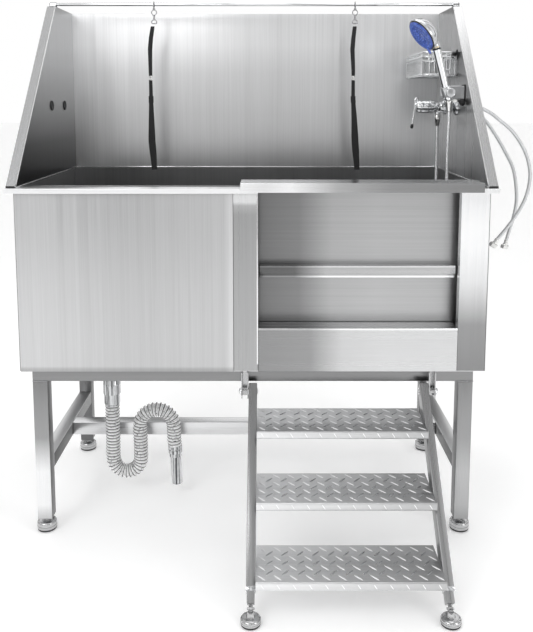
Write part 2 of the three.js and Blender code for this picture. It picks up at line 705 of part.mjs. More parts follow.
const ladder = new THREE.Group();
ladder.position.set(LADDER_X, HINGE_Y, HINGE_Z);
tub.add(ladder);
const leaning = new THREE.Group();
leaning.rotation.x = -LEAN;
ladder.add(leaning);
const ballReach = (HINGE_Z - BALL_Z) * Math.tan(LEAN);
for (const [side, sign] of SIDES) {
  add(tub, `${side}_ladder_bracket`, ladderBracket(sign), brushed);
  add(leaning, `${side}_ladder_rail`, ladderRail(), brushed).position.x = sign * RAIL_X;
  add(leaning, `${side}_ladder_leg`, ladderLeg(), brushed).position.x = sign * RAIL_X;
  add(ladder, `${side}_ladder_foot`, ladderFoot(), polished)
    .position.set(sign * RAIL_X, -ballReach, BALL_Z - HINGE_Z);
}
TREADS_Z.forEach((height, i) => {
  const drop = HINGE_Z - height;
  add(ladder, `${['upper', 'middle', 'lower'][i]}_tread`, ladderTread(), brushed)
    .position.set(0, -drop * Math.tan(LEAN), -drop);
});

export default tub;
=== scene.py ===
"""Stainless steel pet grooming tub with a ramp ladder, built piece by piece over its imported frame."""
import math

import bmesh
import bpy
from mathutils import Matrix, Vector


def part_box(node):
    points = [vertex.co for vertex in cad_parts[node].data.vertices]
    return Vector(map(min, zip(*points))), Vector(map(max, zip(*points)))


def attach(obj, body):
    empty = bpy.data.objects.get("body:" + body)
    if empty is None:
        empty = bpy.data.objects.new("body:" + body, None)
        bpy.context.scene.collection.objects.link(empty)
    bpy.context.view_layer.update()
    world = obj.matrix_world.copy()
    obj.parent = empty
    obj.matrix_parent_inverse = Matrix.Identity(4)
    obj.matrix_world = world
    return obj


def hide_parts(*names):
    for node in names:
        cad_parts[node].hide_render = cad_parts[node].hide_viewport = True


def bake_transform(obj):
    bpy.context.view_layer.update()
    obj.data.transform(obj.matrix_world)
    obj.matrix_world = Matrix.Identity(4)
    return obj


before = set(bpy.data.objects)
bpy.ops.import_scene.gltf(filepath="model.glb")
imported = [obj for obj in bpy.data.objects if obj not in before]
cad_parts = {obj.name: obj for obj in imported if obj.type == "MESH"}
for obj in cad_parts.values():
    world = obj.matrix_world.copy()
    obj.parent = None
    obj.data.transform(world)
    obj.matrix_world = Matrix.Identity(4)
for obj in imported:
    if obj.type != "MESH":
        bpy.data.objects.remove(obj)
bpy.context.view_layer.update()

# ------------------------------------------------------------------ camera
# Stands a little right of the tub's middle, at the height of a standing groomer's chest,
# and looks slightly down into the basin.
camera_lens = bpy.data.cameras.new("camera")
camera_lens.sensor_width = 36.0
camera_lens.lens = 43.41
camera_lens.shift_y = -0.1927
camera_lens.clip_end = 120.0
camera = bpy.data.objects.new("camera", camera_lens)
camera.location = (0.037, -2.094, 1.176)
camera.rotation_euler = (math.radians(90.0 - 6.93), 0.0, 0.0)
bpy.context.scene.collection.objects.link(camera)
bpy.context.scene.camera = camera


# ------------------------------------------------------------------ studio
# A plain pale floor under a soft white room. Narrow grey gaps between the room's light panels give
# polished parts something to reflect, and one small box at the left draws the soft shadows.
def add(tree, kind, inputs=None, **settings):
    """One node in a tree. Its inputs are numbers, or the sockets or nodes that feed them."""
    node = tree.nodes.new(kind)
    for name, value in settings.items():
        setattr(node, name, value)
    for name, value in (inputs or {}).items():
        socket = node.inputs[name]
        if isinstance(value, bpy.types.Node):
            value = value.outputs[0]
        if isinstance(value, bpy.types.NodeSocket):
            tree.links.new(value, socket)
        else:
            socket.default_value = value
    return node


def ramp(tree, factor, stops):
    """A colour ramp; a stop is (place, grey) or (place, (r, g, b))."""
    node = add(tree, "ShaderNodeValToRGB", {"Fac": factor})
    marks = node.color_ramp.elements
    while len(marks) < len(stops):
        marks.new(0.5)
    for mark, (place, tone) in zip(marks, sorted(stops, key=lambda s: s[0])):
        mark.position = place
    for mark, (place, tone) in zip(marks, sorted(stops, key=lambda s: s[0])):
        mark.color = (*((tone,) * 3 if isinstance(tone, (int, float)) else tone), 1.0)
    return node


def sums(tree, operation, *values):
    """One sum of a tree, on numbers and on what feeds them."""
    return add(tree, "ShaderNodeMath", dict(enumerate(values)), operation=operation)


def spread(tree, value, low, high, to_low=0.0, to_high=1.0):
    """A value carried from one range of numbers to another."""
    ranges = {"From Min": low, "From Max": high, "To Min": to_low, "To Max": to_high}
    return add(tree, "ShaderNodeMapRange", {"Value": value, **ranges})


def cloud(tree, place, scale, detail=2.0, roughness=0.5):
    """A soft random pattern, scale spots to a metre."""
    sizes = {"Scale": scale, "Detail": detail, "Roughness": roughness}
    return add(tree, "ShaderNodeTexNoise", {"Vector": place, **sizes}).outputs["Fac"]


def multiplied(tree, first, second):
    """Two colours multiplied together."""
    colours = {"Factor": 1.0, 6: first, 7: second}
    return add(tree, "ShaderNodeMix", colours, data_type="RGBA", blend_type="MULTIPLY").outputs[2]


def times(colour, amount):
    """A colour made lighter or darker."""
    return tuple(c * amount for c in colour)


def empty_material(name):
    """A material with an empty tree, and the socket that says where each point of its piece is."""
    material = bpy.data.materials.new(name)
    material.use_nodes = True
    tree = material.node_tree
    tree.nodes.clear()
    return material, tree, add(tree, "ShaderNodeTexCoord").outputs["Object"]


def surfaced(tree, inputs):
    """Ends a material with its surface."""
    paint = add(tree, "ShaderNodeBsdfPrincipled", inputs)
    add(tree, "ShaderNodeOutputMaterial", {"Surface": paint})


floor_material, tree, place = empty_material("studio_floor")
surfaced(tree, {"Base Color": ramp(tree, cloud(tree, place, 3.0, 3.0), [(0.3, 0.90), (0.7, 0.92)]),
                "Roughness": 0.9, "Specular IOR Level": 0.1, "Emission Color": (1.0, 1.0, 1.0, 1.0),
                "Emission Strength": 0.24})

FLOOR_REACH = 40.0
floor_mesh = bpy.data.meshes.new("studio_floor")
floor_corners = [(x * FLOOR_REACH, y * FLOOR_REACH, 0) for x, y in ((-1, -1), (1, -1), (1, 1), (-1, 1))]
floor_mesh.from_pydata(floor_corners, [], [(0, 1, 2, 3)])
floor_mesh.materials.append(floor_material)
floor = bpy.data.objects.new("studio_floor", floor_mesh)
floor.location.z = -0.001
bpy.context.scene.collection.objects.link(floor)

room = bpy.data.worlds.new("soft_room")
room.use_nodes = True
tree = room.node_tree
tree.nodes.clear()
direction = add(tree, "ShaderNodeSeparateXYZ",
                {"Vector": add(tree, "ShaderNodeTexCoord").outputs["Generated"]})
rise = spread(tree, direction.outputs["Z"], -1.0, 1.0)
light_by_height = ramp(tree, rise, [(0.0, 0.85), (0.49, 0.74), (0.53, 0.66), (0.62, 0.86), (0.8, 1.0),
                                    (1.0, 0.92)])
PANELS_AROUND = 14.0
around = sums(tree, "ARCTAN2", direction.outputs["X"], direction.outputs["Y"])
wave = sums(tree, "COSINE", sums(tree, "MULTIPLY", around, PANELS_AROUND))
gaps = ramp(tree, spread(tree, wave, -1.0, 1.0), [(0.0, 0.12), (0.22, 0.2), (0.36, 1.0), (1.0, 1.0)])
panels = multiplied(tree, light_by_height, gaps)
reflected = add(tree, "ShaderNodeBackground", {"Color": panels, "Strength": 1.2})
backdrop = add(tree, "ShaderNodeBackground", {"Color": (1.0, 1.0, 1.0, 1.0), "Strength": 1.0})
seen = add(tree, "ShaderNodeLightPath")
both = add(tree, "ShaderNodeMixShader", {0: seen.outputs["Is Camera Ray"], 1: reflected, 2: backdrop})
add(tree, "ShaderNodeOutputWorld", {"Surface": both})
bpy.context.scene.world = room


def soft_box(name, power, size, at, towards):
    """A square or oblong lamp, its power in watts, that hangs at one place and faces another."""
    lamp = bpy.data.lights.new(name, "AREA")
    lamp.shape = "RECTANGLE"
    lamp.energy = power
    lamp.size, lamp.size_y = size
    holder = bpy.data.objects.new(name, lamp)
    holder.location = at
    holder.rotation_euler = (Vector(towards) - Vector(at)).to_track_quat("-Z", "Y").to_euler()
    bpy.context.scene.collection.objects.link(holder)


soft_box("small_key", 2.2, (0.36, 0.36), (-0.62, -1.97, 1.90), (0.1, 0.3, 1.0))
soft_box("left_box", 26.0, (1.6, 1.6), (-1.9, -2.3, 2.9), (0.0, 0.1, 0.7))
soft_box("right_strip", 14.0, (0.5, 2.4), (2.3, -1.9, 1.5), (0.3, 0.0, 0.6))
soft_box("overhead_box", 18.0, (2.2, 1.4), (0.2, 0.6, 3.4), (0.0, 0.2, 0.5))
bpy.context.scene.view_settings.view_transform = "Standard"


# ------------------------------------------------------------------ supply hoses
# Two 11 mm hoses of plaited stainless wire over rubber, sold as flexible mixer tails.
# Each screws on to a shank behind the guard with a hexagon nut, and ends in a free union nut.
def tub(x, y, z):
    """A workshop measure in millimetres from the tub's own middle, as a place in the frame."""
    return Vector((x / 1000.0, (y + 180.0) / 1000.0, z / 1000.0))


def smooth_route(points, step):
    """Places a step apart on one smooth line through the points."""
    points = [Vector(p) for p in points]
    ends = [points[0] * 2 - points[1], *points, points[-1] * 2 - points[-2]]
    route = [points[0]]
    for p0, p1, p2, p3 in zip(ends, ends[1:], ends[2:], ends[3:]):
        t0, t1 = 0.0, (p1 - p0).length ** 0.5
        t2 = t1 + (p2 - p1).length ** 0.5
        t3 = t2 + (p3 - p2).length ** 0.5
        pieces = max(2, round((p2 - p1).length / step))
        for i in range(1, pieces + 1):
            t = t1 + (t2 - t1) * i / pieces
            a1 = p0.lerp(p1, (t - t0) / (t1 - t0))
            a2 = p1.lerp(p2, (t - t1) / (t2 - t1))
            a3 = p2.lerp(p3, (t - t2) / (t3 - t2))
            b1 = a1.lerp(a2, (t - t0) / (t2 - t0))
            b2 = a2.lerp(a3, (t - t1) / (t3 - t1))
            route.append(b1.lerp(b2, (t - t1) / (t2 - t1)))
    return route


def length_of(route):
    """The length of the line through a route's places."""
    return sum((b - a).length for a, b in zip(route, route[1:]))


def angles(count):
    """That many angles once round a circle."""
    return [math.tau * k / count for k in range(count)]


def skinned(bm, rings, hollow=False):
    """Joins each ring of points to the next. It caps both ends, or joins the last ring to the first."""
    sides = len(rings[0])
    faces = []
    for ring, after in zip(rings, rings[1:] + rings[:1] if hollow else rings[1:]):
        for k in range(sides):
            n = (k + 1) % sides
            faces.append(bm.faces.new((ring[k], ring[n], after[n], after[k])))
    if not hollow:
        bm.faces.new(rings[0][::-1])
        bm.faces.new(rings[-1])
    return faces


def swept(bm, route, radius, sides=16):
    """A closed round tube along a route; radius is a number or a function of the way along it.
    Its UV runs once round the tube, and along it in turns of its girth."""
    uv = bm.loops.layers.uv.verify()
    along = [0.0]
    for a, b in zip(route, route[1:]):
        along.append(along[-1] + (b - a).length)
    last = len(route) - 1
    tangents = [(route[min(i + 1, last)] - route[max(i - 1, 0)]).normalized() for i in range(len(route))]
    side = tangents[0].orthogonal().normalized()
    size = radius if callable(radius) else lambda s: radius
    girth = math.tau * size(0.0)
    rings = []
    for i, (centre, tangent) in enumerate(zip(route, tangents)):
        if i:
            side = tangents[i - 1].rotation_difference(tangent) @ side
        up = tangent.cross(side)
        r = size(along[i])
        rings.append([bm.verts.new(centre + r * (math.cos(a) * side + math.sin(a) * up))
                      for a in angles(sides)])
    for index, face in enumerate(skinned(bm, rings)):
        i, k = divmod(index, sides)
        for loop, (u, v) in zip(face.loops, ((k, i), (k + 1, i), (k + 1, i + 1), (k, i + 1))):
            loop[uv].uv = (u / sides, along[v] / girth)


def aimed(origin, towards):
    """A matrix that turns +Z to point towards a direction, from an origin."""
    turn = Vector((0, 0, 1)).rotation_difference(Vector(towards).normalized())
    return Matrix.Translation(origin) @ turn.to_matrix().to_4x4()


def turned(bm, profile, matrix, sides=32, hollow=False):
    """A solid turned about its own +Z from a list of (radius, height); a hollow one is a closed ring."""
    skinned(bm, [[bm.verts.new(matrix @ Vector((r * math.cos(a), r * math.sin(a), z))) for a in angles(sides)]
                 for r, z in profile], hollow)


def shown(name, bm, material, smooth=35.0):
    """Turns a bmesh into a finished object in its place, faces outwards, round faces smooth."""
    bmesh.ops.recalc_face_normals(bm, faces=bm.faces)
    mesh = bpy.data.meshes.new(name)
    bm.to_mesh(mesh)
    bm.free()
    mesh.shade_smooth()
    mesh.set_sharp_from_angle(angle=math.radians(smooth))
    mesh.materials.append(material)
    made = bpy.data.objects.new(name, mesh)
    bpy.context.scene.collection.objects.link(made)
    return made


def fitted(piece, body, finish, *nodes):
    """The piece rides on a body and stands for its CAD nodes. Its finish argument is not used."""
    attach(piece, body)
    if nodes:
        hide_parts(*nodes)
    return piece


def ways_on_hose(tree):
    """The way round a hose as X, and the way along it as Y, from its UV."""
    uv = add(tree, "ShaderNodeTexCoord").outputs["UV"]
    return add(tree, "ShaderNodeSeparateXYZ", {"Vector": uv}).outputs


def plaited(name, colour, strands, metal, rough):
    """Plaited or wound covering that follows the hose's own UV."""
    material, tree, place = empty_material(name)
    way = ways_on_hose(tree)
    leaning = []
    for sign in (1.0, -1.0):
        turn = sums(tree, "MULTIPLY", way["Y"], sign * strands * math.tau)
        leaning.append(sums(tree, "SINE", sums(tree, "MULTIPLY_ADD", way["X"], strands * math.tau, turn)))
    wire = spread(tree, sums(tree, "MULTIPLY", *leaning), -1.0, 1.0)
    dust = cloud(tree, place, 60.0)
    tone = ramp(tree, wire, [(0.15, times(colour, 0.45)), (0.5, times(colour, 0.9)), (0.9, colour)])
    blend = {"Factor": dust, 6: tone, 7: (*times(colour, 0.88), 1.0)}
    worn = add(tree, "ShaderNodeMix", blend, data_type="RGBA", blend_type="MIX").outputs[2]
    shine = spread(tree, dust, 0.0, 1.0, rough - 0.06, rough + 0.1)
    dent = add(tree, "ShaderNodeBump", {"Height": wire, "Strength": 0.6, "Distance": 0.0004})
    surfaced(tree, {"Base Color": worn, "Metallic": metal, "Roughness": shine, "Normal": dent})
    return material


def polished(name, colour, rough, metal=1.0):
    """Plated or polished metal with faint handling marks."""
    material, tree, place = empty_material(name)
    marks = cloud(tree, place, 45.0, 4.0)
    grit = cloud(tree, place, 900.0)
    shine = spread(tree, marks, 0.3, 0.75, rough * 0.7, rough * 1.7)
    tone = ramp(tree, marks, [(0.25, times(colour, 0.93)), (0.7, colour)])
    dent = add(tree, "ShaderNodeBump", {"Height": grit, "Strength": 0.05, "Distance": 0.0001})
    surfaced(tree, {"Base Color": tone, "Metallic": metal, "Roughness": shine, "Normal": dent})
    return material


HOT_ROUTE = [tub(*p) for p in ((635, 33, 1160), (668, 33, 1160), (709, 36, 1144), (742, 40, 1120),
                               (783, 44, 1086), (820, 47, 1034), (838, 50, 991), (845, 52, 945),
                               (837, 54, 890), (818, 56, 844), (785, 58, 792), (752, 60, 749),
                               (739, 61, 727))]
COLD_ROUTE = [tub(*p) for p in ((635, 178, 1160), (668, 175, 1160), (700, 161, 1146), (728, 141, 1116),
                                (760, 129, 1068), (788, 121, 1018), (811, 113, 969), (822, 111, 915),
                                (825, 110, 858), (815, 110, 801), (803, 110, 757), (792, 110, 712))]
wire_plait = plaited("wire_plait", (0.74, 0.75, 0.76), 12.0, 0.7, 0.30)
nickel = polished("nickel_plate", (0.80, 0.80, 0.79), 0.14)


def union_nut(name, end, towards, flats=0.0122):
    """A crimped ferrule, then a hexagon nut with a rolled shoulder, facing a way."""
    bm = bmesh.new()
    place = aimed(end, towards)
    turned(bm, [(0.0052, -0.030), (0.0066, -0.029), (0.0068, -0.022), (0.0062, -0.021), (0.0068, -0.020),
                (0.0068, -0.013), (0.0060, -0.012)], place, 24)
    turned(bm, [(flats * 0.86, -0.0135), (flats * 1.06, -0.0115), (flats * 1.06, -0.0010),
                (flats * 0.88, 0.0006), (0.0062, 0.0006), (0.0060, -0.0080)], place, 6)
    turned(bm, [(0.0088, -0.0150), (0.0100, -0.0140), (0.0100, -0.0130), (0.0088, -0.0120)], place, 24)
    return shown(name, bm, nickel, 25.0)


for name, route, real_length in (("hot_supply", HOT_ROUTE, 0.61), ("cold_supply", COLD_ROUTE, 0.56)):
    path = smooth_route(route, 0.012)
    bm = bmesh.new()
    swept(bm, path, 0.0053, 20)
    supply = fitted(shown(f"{name}_hose_plait", bm, wire_plait), "station", "braided_hose", f"{name}_hose")
    wall_nut = union_nut(f"{name}_wall_nut", path[0] + Vector((0.0008, 0, 0)), (-1, 0, 0))
    free_nut = union_nut(f"{name}_free_nut", path[-1], path[-1] - path[-3])
    for nut in (wall_nut, free_nut):
        fitted(nut, "station", "chrome_fitting")


# ------------------------------------------------------------------ shower hose
# A 1.5 m hose wound from chromed brass strip, 10 mm across. It hangs from the mixer's outlet,
# lies in a bend on the tub's floor and comes up to the handset's foot, with a cone nut at each end.
def wound_strip(name, colour):
    """Bright strip wound into a hose, that follows the hose's own UV."""
    material, tree, place = empty_material(name)
    way = ways_on_hose(tree)
    lead = sums(tree, "MULTIPLY", way["Y"], 14.0 * math.tau)
    turn = sums(tree, "MULTIPLY_ADD", way["X"], math.tau, lead)
    crest = spread(tree, sums(tree, "SINE", turn), -1.0, 1.0)
    tone = ramp(tree, crest, [(0.1, times(colour, 0.4)), (0.45, times(colour, 0.92)), (1.0, colour)])
    dent = add(tree, "ShaderNodeBump", {"Height": crest, "Strength": 0.5, "Distance": 0.0005})
    shine = spread(tree, cloud(tree, place, 30.0), 0.0, 1.0, 0.16, 0.34)
    surfaced(tree, {"Base Color": tone, "Metallic": 0.85, "Roughness": shine, "Normal": dent})
    return material


SHOWER_ROUTE = [tub(*p) for p in ((568, 105.5, 1135.7), (568, 106, 1100), (569, 109, 1000), (570, 112, 850),
                                  (569, 112, 700), (566, 104, 580), (560, 80, 512), (551, 42, 486),
                                  (546, 0, 481), (546, -46, 488), (549, -82, 530), (552, -96, 620),
                                  (554, -98, 760), (554, -98, 900), (554, -96, 1040), (556, -93.5, 1130),
                                  (554.9, -91.7, 1176.8))]
chromed_strip = wound_strip("chromed_strip", (0.82, 0.83, 0.84))
path = smooth_route(SHOWER_ROUTE, 0.018)
bm = bmesh.new()
swept(bm, path, 0.0049, 18)
shower_hose = shown("shower_hose_strip", bm, chromed_strip)
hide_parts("shower_hose")
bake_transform(shower_hose)

bm = bmesh.new()
turned(bm, [(0.0052, -0.022), (0.0062, -0.020), (0.0084, -0.004), (0.0092, -0.002), (0.0092, 0.010),
            (0.0080, 0.012)], aimed(path[0] + Vector((0, 0, -0.0125)), (0, 0, 1)), 28)
outlet_cone = fitted(shown("shower_hose_outlet_cone", bm, nickel), "station", "chrome_fitting")
bm = bmesh.new()
turned(bm, [(0.0052, -0.030), (0.0062, -0.028), (0.0086, -0.006), (0.0094, -0.004), (0.0094, 0.0),
            (0.0084, 0.0012)], aimed(path[-1], path[-1] - path[-3]), 28)
handle_cone = fitted(shown("shower_hose_handle_cone", bm, nickel), "shower_arm", "chrome_fitting")


# ------------------------------------------------------------------ drain hose
# A corrugated waste hose of clear glossy plastic, 43 mm across, that bends down into a water trap,
# over and down again. A plain cuff joins it to the socket, and a collar to its smooth tail pipe.
def corrugated(name, colour, dark):
    """Clear glossy plastic: pale on the wave's flanks, a thin dark line of painted shade on each crest for the
    dark edges the clear ribs show, and specks.
    """
    material, tree, place = empty_material(name)
    way = ways_on_hose(tree)
    wave = sums(tree, "COSINE", sums(tree, "MULTIPLY", way["Y"], DRAIN_WAVES * math.tau))
    streak = cloud(tree, place, 210.0, 3.0, 0.6)
    # The ramp's dark end draws a line of painted shade along each crest.
    crest = ramp(tree, spread(tree, wave, -1.0, 1.0),
                 [(0.0, 0.62), (0.18, 0.95), (0.74, 1.0), (0.90, 0.12), (1.0, 0.06)])
    pale = tuple(min(1.0, c) for c in times(colour, 1.08))
    specks = ramp(tree, streak, [(0.35, dark), (0.42, colour), (0.68, pale), (0.78, times(colour, 0.7))])
    shine = spread(tree, streak, 0.0, 1.0, 0.05, 0.22)
    surfaced(tree, {"Base Color": multiplied(tree, specks, crest), "Roughness": shine,
                    "Coat Weight": 0.6, "Coat Roughness": 0.05})
    return material


DRAIN_X, DRAIN_Y = -422.0, -95.0


def bend(x, z, radius, start, end, steps=8):
    """Places round one bend of the trap, from one angle to another, in the workshop's millimetres."""
    turns = [math.radians(start + (end - start) * i / steps) for i in range(steps + 1)]
    return [(x + radius * math.cos(a), DRAIN_Y, z + radius * math.sin(a)) for a in turns]


DRAIN_ROUTE = [tub(*p) for p in ((DRAIN_X, DRAIN_Y, 285.7), (DRAIN_X, DRAIN_Y, 240), (DRAIN_X, DRAIN_Y, 180),
                                 *bend(-381, 114, 41, 180, 360), (-340, DRAIN_Y, 165),
                                 *bend(-290, 215, 50, 180, 0), (-239, DRAIN_Y, 170), (-237.5, DRAIN_Y, 152))]
DRAIN_PITCH, CUFF_END = 0.0094, 0.004
CUFF_RADIUS, VALLEY_RADIUS, CREST_RISE = 0.0195, 0.0168, 0.0046
DRAIN_WAVES = math.tau * CUFF_RADIUS / DRAIN_PITCH
path = smooth_route(DRAIN_ROUTE, 0.0013)
total = length_of(path)


def corrugation(s):
    """Plain at both cuffs, and one rounded crest for each pitch between them."""
    if s < CUFF_END or s > total - CUFF_END:
        return CUFF_RADIUS
    crest = 0.5 + 0.5 * math.cos(math.tau * s / DRAIN_PITCH)
    return VALLEY_RADIUS + CREST_RISE * crest ** 1.25


clear_hose = corrugated("clear_hose", (0.97, 0.975, 0.98), (0.06, 0.065, 0.07))


def drawn(name, colour, dark):
    """Clear glossy pipe, streaked along its length by what shows through it."""
    material, tree, place = empty_material(name)
    long = add(tree, "ShaderNodeMapping", {"Vector": place, "Scale": (150.0, 150.0, 2.0)})
    streak = cloud(tree, long, 1.0)
    spots = cloud(tree, place, 90.0, 3.0)
    mixed = sums(tree, "MULTIPLY_ADD", spots, 0.08, sums(tree, "MULTIPLY", streak, 0.92))
    tone = ramp(tree, mixed, [(0.36, dark), (0.45, times(colour, 0.72)), (0.54, colour),
                              (0.64, times(colour, 0.55))])
    shine = spread(tree, spots, 0.0, 1.0, 0.06, 0.2)
    dent = add(tree, "ShaderNodeBump", {"Height": streak, "Strength": 0.3, "Distance": 0.0008})
    surfaced(tree, {"Base Color": tone, "Metallic": 0.6, "Roughness": shine, "Normal": dent,
                    "Coat Weight": 0.5, "Coat Roughness": 0.04})
    return material


clear_fitting = drawn("clear_fitting", (0.78, 0.79, 0.80), (0.07, 0.075, 0.08))
bm = bmesh.new()
swept(bm, path, corrugation, 32)
drain_hose = fitted(shown("drain_hose_corrugated", bm, clear_hose, 80.0), "station", "drain_plastic",
                    "drain_hose")

COLLAR_DEPTH = 0.0057
bm = bmesh.new()
turned(bm, [(0.0170, 0.0), (0.0208, 0.0005), (0.0213, 0.0020), (0.0213, 0.0042), (0.0204, 0.0050),
            (0.0196, COLLAR_DEPTH)], aimed(path[0] + Vector((0, 0, -COLLAR_DEPTH)), (0, 0, 1)), 40)
drain_cuff = fitted(shown("drain_hose_cuff", bm, clear_fitting), "station", "drain_plastic")
foot, tail = tub(-237.5, DRAIN_Y, 155), tub(-232.4, DRAIN_Y, 36)
run = (tail - foot).length
bm = bmesh.new()
turned(bm, [(0.0180, 0.0), (0.0210, 0.0010), (0.0214, 0.0030), (0.0214, 0.0085), (0.0190, 0.0100),
            (0.0190, 0.0120), (0.0208, 0.0135), (0.0208, 0.0225), (0.0188, 0.0240), (0.0188, 0.0335),
            (0.0172, 0.0350)], aimed(foot, tail - foot), 40)
drain_collar = fitted(shown("drain_hose_collar", bm, clear_fitting), "station", "drain_plastic")
bm = bmesh.new()
turned(bm, [(0.0150, 0.030), (0.0165, 0.031), (0.0165, run - 0.001), (0.0160, run), (0.0146, run),
            (0.0142, run - 0.03)], aimed(foot, tail - foot), 40)
tail_pipe = fitted(shown("drain_tail_pipe", bm, clear_fitting), "station", "drain_plastic")


# ------------------------------------------------------------------ frame
# Square stainless tube, 40 mm and brushed along its length, welded into a top frame on four legs
# with a low H of stretchers. The welds are ground, and only a fine ripple of bead is left.
AXES = {"X": 0, "Y": 1, "Z": 2}
SIDEWAYS = ((1, 0, 0), (-1, 0, 0))


def brushed(name, along, colour=0.60, rough=0.30, painted_light_fades=(), depth=1.0):
    """Satin stainless steel whose grain runs along one axis, or along the slope between two. A fade is (axis,
    from, to, stops): it multiplies painted light and shade into the sheet's colour along that axis, lighter
    where light falls on the sheet and darker where shade falls."""
    material, tree, place = empty_material(name)
    fine, wide = [420.0] * 3, [120.0] * 3
    for axis in along:
        fine[AXES[axis]], wide[AXES[axis]] = 4.0, 0.5
    grain = cloud(tree, add(tree, "ShaderNodeMapping", {"Vector": place, "Scale": fine}), 1.0, 3.0, 0.65)
    bands = cloud(tree, add(tree, "ShaderNodeMapping", {"Vector": place, "Scale": wide}), 1.0, 4.0, 0.6)
    both = sums(tree, "MULTIPLY_ADD", grain, 0.45, sums(tree, "MULTIPLY", bands, 0.55))
    base = (colour, colour * 1.004, colour * 1.012)
    tone = ramp(tree, both, [(0.34, times(base, 1 - 0.07 * depth)), (0.5, base),
                             (0.66, times(base, 1 + 0.06 * depth))])
    split = add(tree, "ShaderNodeSeparateXYZ", {"Vector": place}).outputs
    # Each fade multiplies a band of painted light and shade into the grain's tone.
    for axis, start, end, stops in painted_light_fades:
        tone = multiplied(tree, tone, ramp(tree, spread(tree, split[axis], start, end), stops))
    shine = spread(tree, bands, 0.3, 0.7, rough - 0.02, rough + 0.03)
    dent = add(tree, "ShaderNodeBump", {"Height": grain, "Strength": 0.08 * depth, "Distance": 0.0004})
    surfaced(tree, {"Base Color": tone, "Metallic": 1.0, "Roughness": shine, "Normal": dent})
    return material


def block(bm, low, high, edge, steps=2):
    """A block between two corners with rounded edges."""
    low, high = Vector(low), Vector(high)
    place = Matrix.Translation((low + high) / 2) @ Matrix.Diagonal((*(high - low), 1.0))
    made = bmesh.ops.create_cube(bm, size=1.0, matrix=place)
    edges = {e for v in made["verts"] for e in v.link_edges}
    bmesh.ops.bevel(bm, geom=list(edges), offset=edge, segments=steps, affect="EDGES", profile=0.5)


def recipe(name, **sizes):
    """A geometry node group with named inputs, and the sockets that carry them."""
    group = bpy.data.node_groups.new(name, "GeometryNodeTree")
    group.interface.new_socket("Geometry", in_out="OUTPUT", socket_type="NodeSocketGeometry")
    for label, kind in sizes.items():
        group.interface.new_socket(label, in_out="INPUT", socket_type="NodeSocket" + kind)
    return group, group.nodes.new("NodeGroupInput").outputs


def served(group, geometry):
    """Ends a recipe: instances made real, then the finish given to it."""
    finish = group.nodes["Group Input"].outputs["Finish"]
    real = add(group, "GeometryNodeRealizeInstances", {"Geometry": geometry})
    coloured = add(group, "GeometryNodeSetMaterial", {"Geometry": real, "Material": finish})
    add(group, "NodeGroupOutput", {"Geometry": coloured})


def grown(name, group, base=None, smooth=40.0, **sizes):
    """Follows a recipe with these sizes, from base mesh if it needs one, and keeps a plain mesh."""
    carrier = bpy.data.objects.new(name, base or bpy.data.meshes.new(name))
    step = carrier.modifiers.new("recipe", "NODES")
    step.node_group = group
    for socket in group.interface.items_tree:
        if socket.in_out == "INPUT" and socket.name in sizes:
            step[socket.identifier] = sizes[socket.name]
    bpy.context.scene.collection.objects.link(carrier)
    mesh = bpy.data.meshes.new_from_object(carrier.evaluated_get(bpy.context.evaluated_depsgraph_get()))
    carrier.modifiers.remove(step)
    carrier.data = mesh
    mesh.shade_smooth()
    mesh.set_sharp_from_angle(angle=math.radians(smooth))
    return carrier


bead_recipe, given = recipe("weld_bead", Start="Vector", End="Vector", Ripple="Float", Pitch="Float",
                            Finish="Material")
reach = add(bead_recipe, "ShaderNodeVectorMath", {0: given["End"], 1: given["Start"]}, operation="DISTANCE")
count = sums(bead_recipe, "DIVIDE", reach.outputs["Value"], given["Pitch"])
ends = {"Count": count, "Start Location": given["Start"], "Offset": given["End"]}
line = add(bead_recipe, "GeometryNodeMeshLine", ends, mode="END_POINTS")
drop = add(bead_recipe, "GeometryNodeMeshIcoSphere", {"Radius": given["Ripple"], "Subdivisions": 1})
served(bead_recipe, add(bead_recipe, "GeometryNodeInstanceOnPoints", {"Points": line, "Instance": drop}))


def faced(made, finish, *ways):
    """Gives the faces that look one of these ways a finish of their own: a copy of the piece's steel toned with
    painted light and shade for those faces.
    """
    made.data.materials.append(finish)
    for face in made.data.polygons:
        if any(face.normal.dot(Vector(way)) > 0.9 for way in ways):
            face.material_index = 1
    return made


# The frame's tubes are one brushed steel in lit and shaded copies: the top frame's bars along X toned dark as
# painted shade, the low cross bar and the bars' top faces light, their side faces a dark copy as painted shade,
# the back legs dark as painted shade, and each front leg with a painted highlight band low down and painted
# shade towards its top, the right leg a darker copy of the left.
tube_x = brushed("tube_brushed_along_x", "X", 0.25, 0.28)
tube_y = brushed("tube_brushed_along_y", "Y", 0.66, 0.30)
LEG_LOW, LEG_HIGH = 0.03, 0.43
painted_light_leg_tubes = {
    "left": brushed("left_leg_painted_light_z", "Z", 0.52, 0.26, [
        ("Z", LEG_LOW, LEG_HIGH, [(0.0, 0.95), (0.12, 1.7), (0.36, 1.6), (0.6, 0.62), (1.0, 0.5)])]),
    "right": brushed("right_leg_painted_light_z", "Z", 0.48, 0.26, [
        ("Z", LEG_LOW, LEG_HIGH, [(0.0, 0.75), (0.12, 1.0), (0.36, 0.98), (0.6, 0.66), (1.0, 0.58)])])}
cross_tube = brushed("cross_tube_brushed_along_x", "X", 0.72, 0.28)
shaded_back_tube = brushed("back_leg_painted_shade_z", "Z", 0.17, 0.30)
shaded_tube_side_y = brushed("tube_side_painted_shade_y", "Y", 0.13, 0.32)
shaded_tube_side_z = brushed("tube_side_painted_shade_z", "Z", 0.12, 0.32)
weld_steel = polished("ground_weld", (0.55, 0.55, 0.56), 0.32)

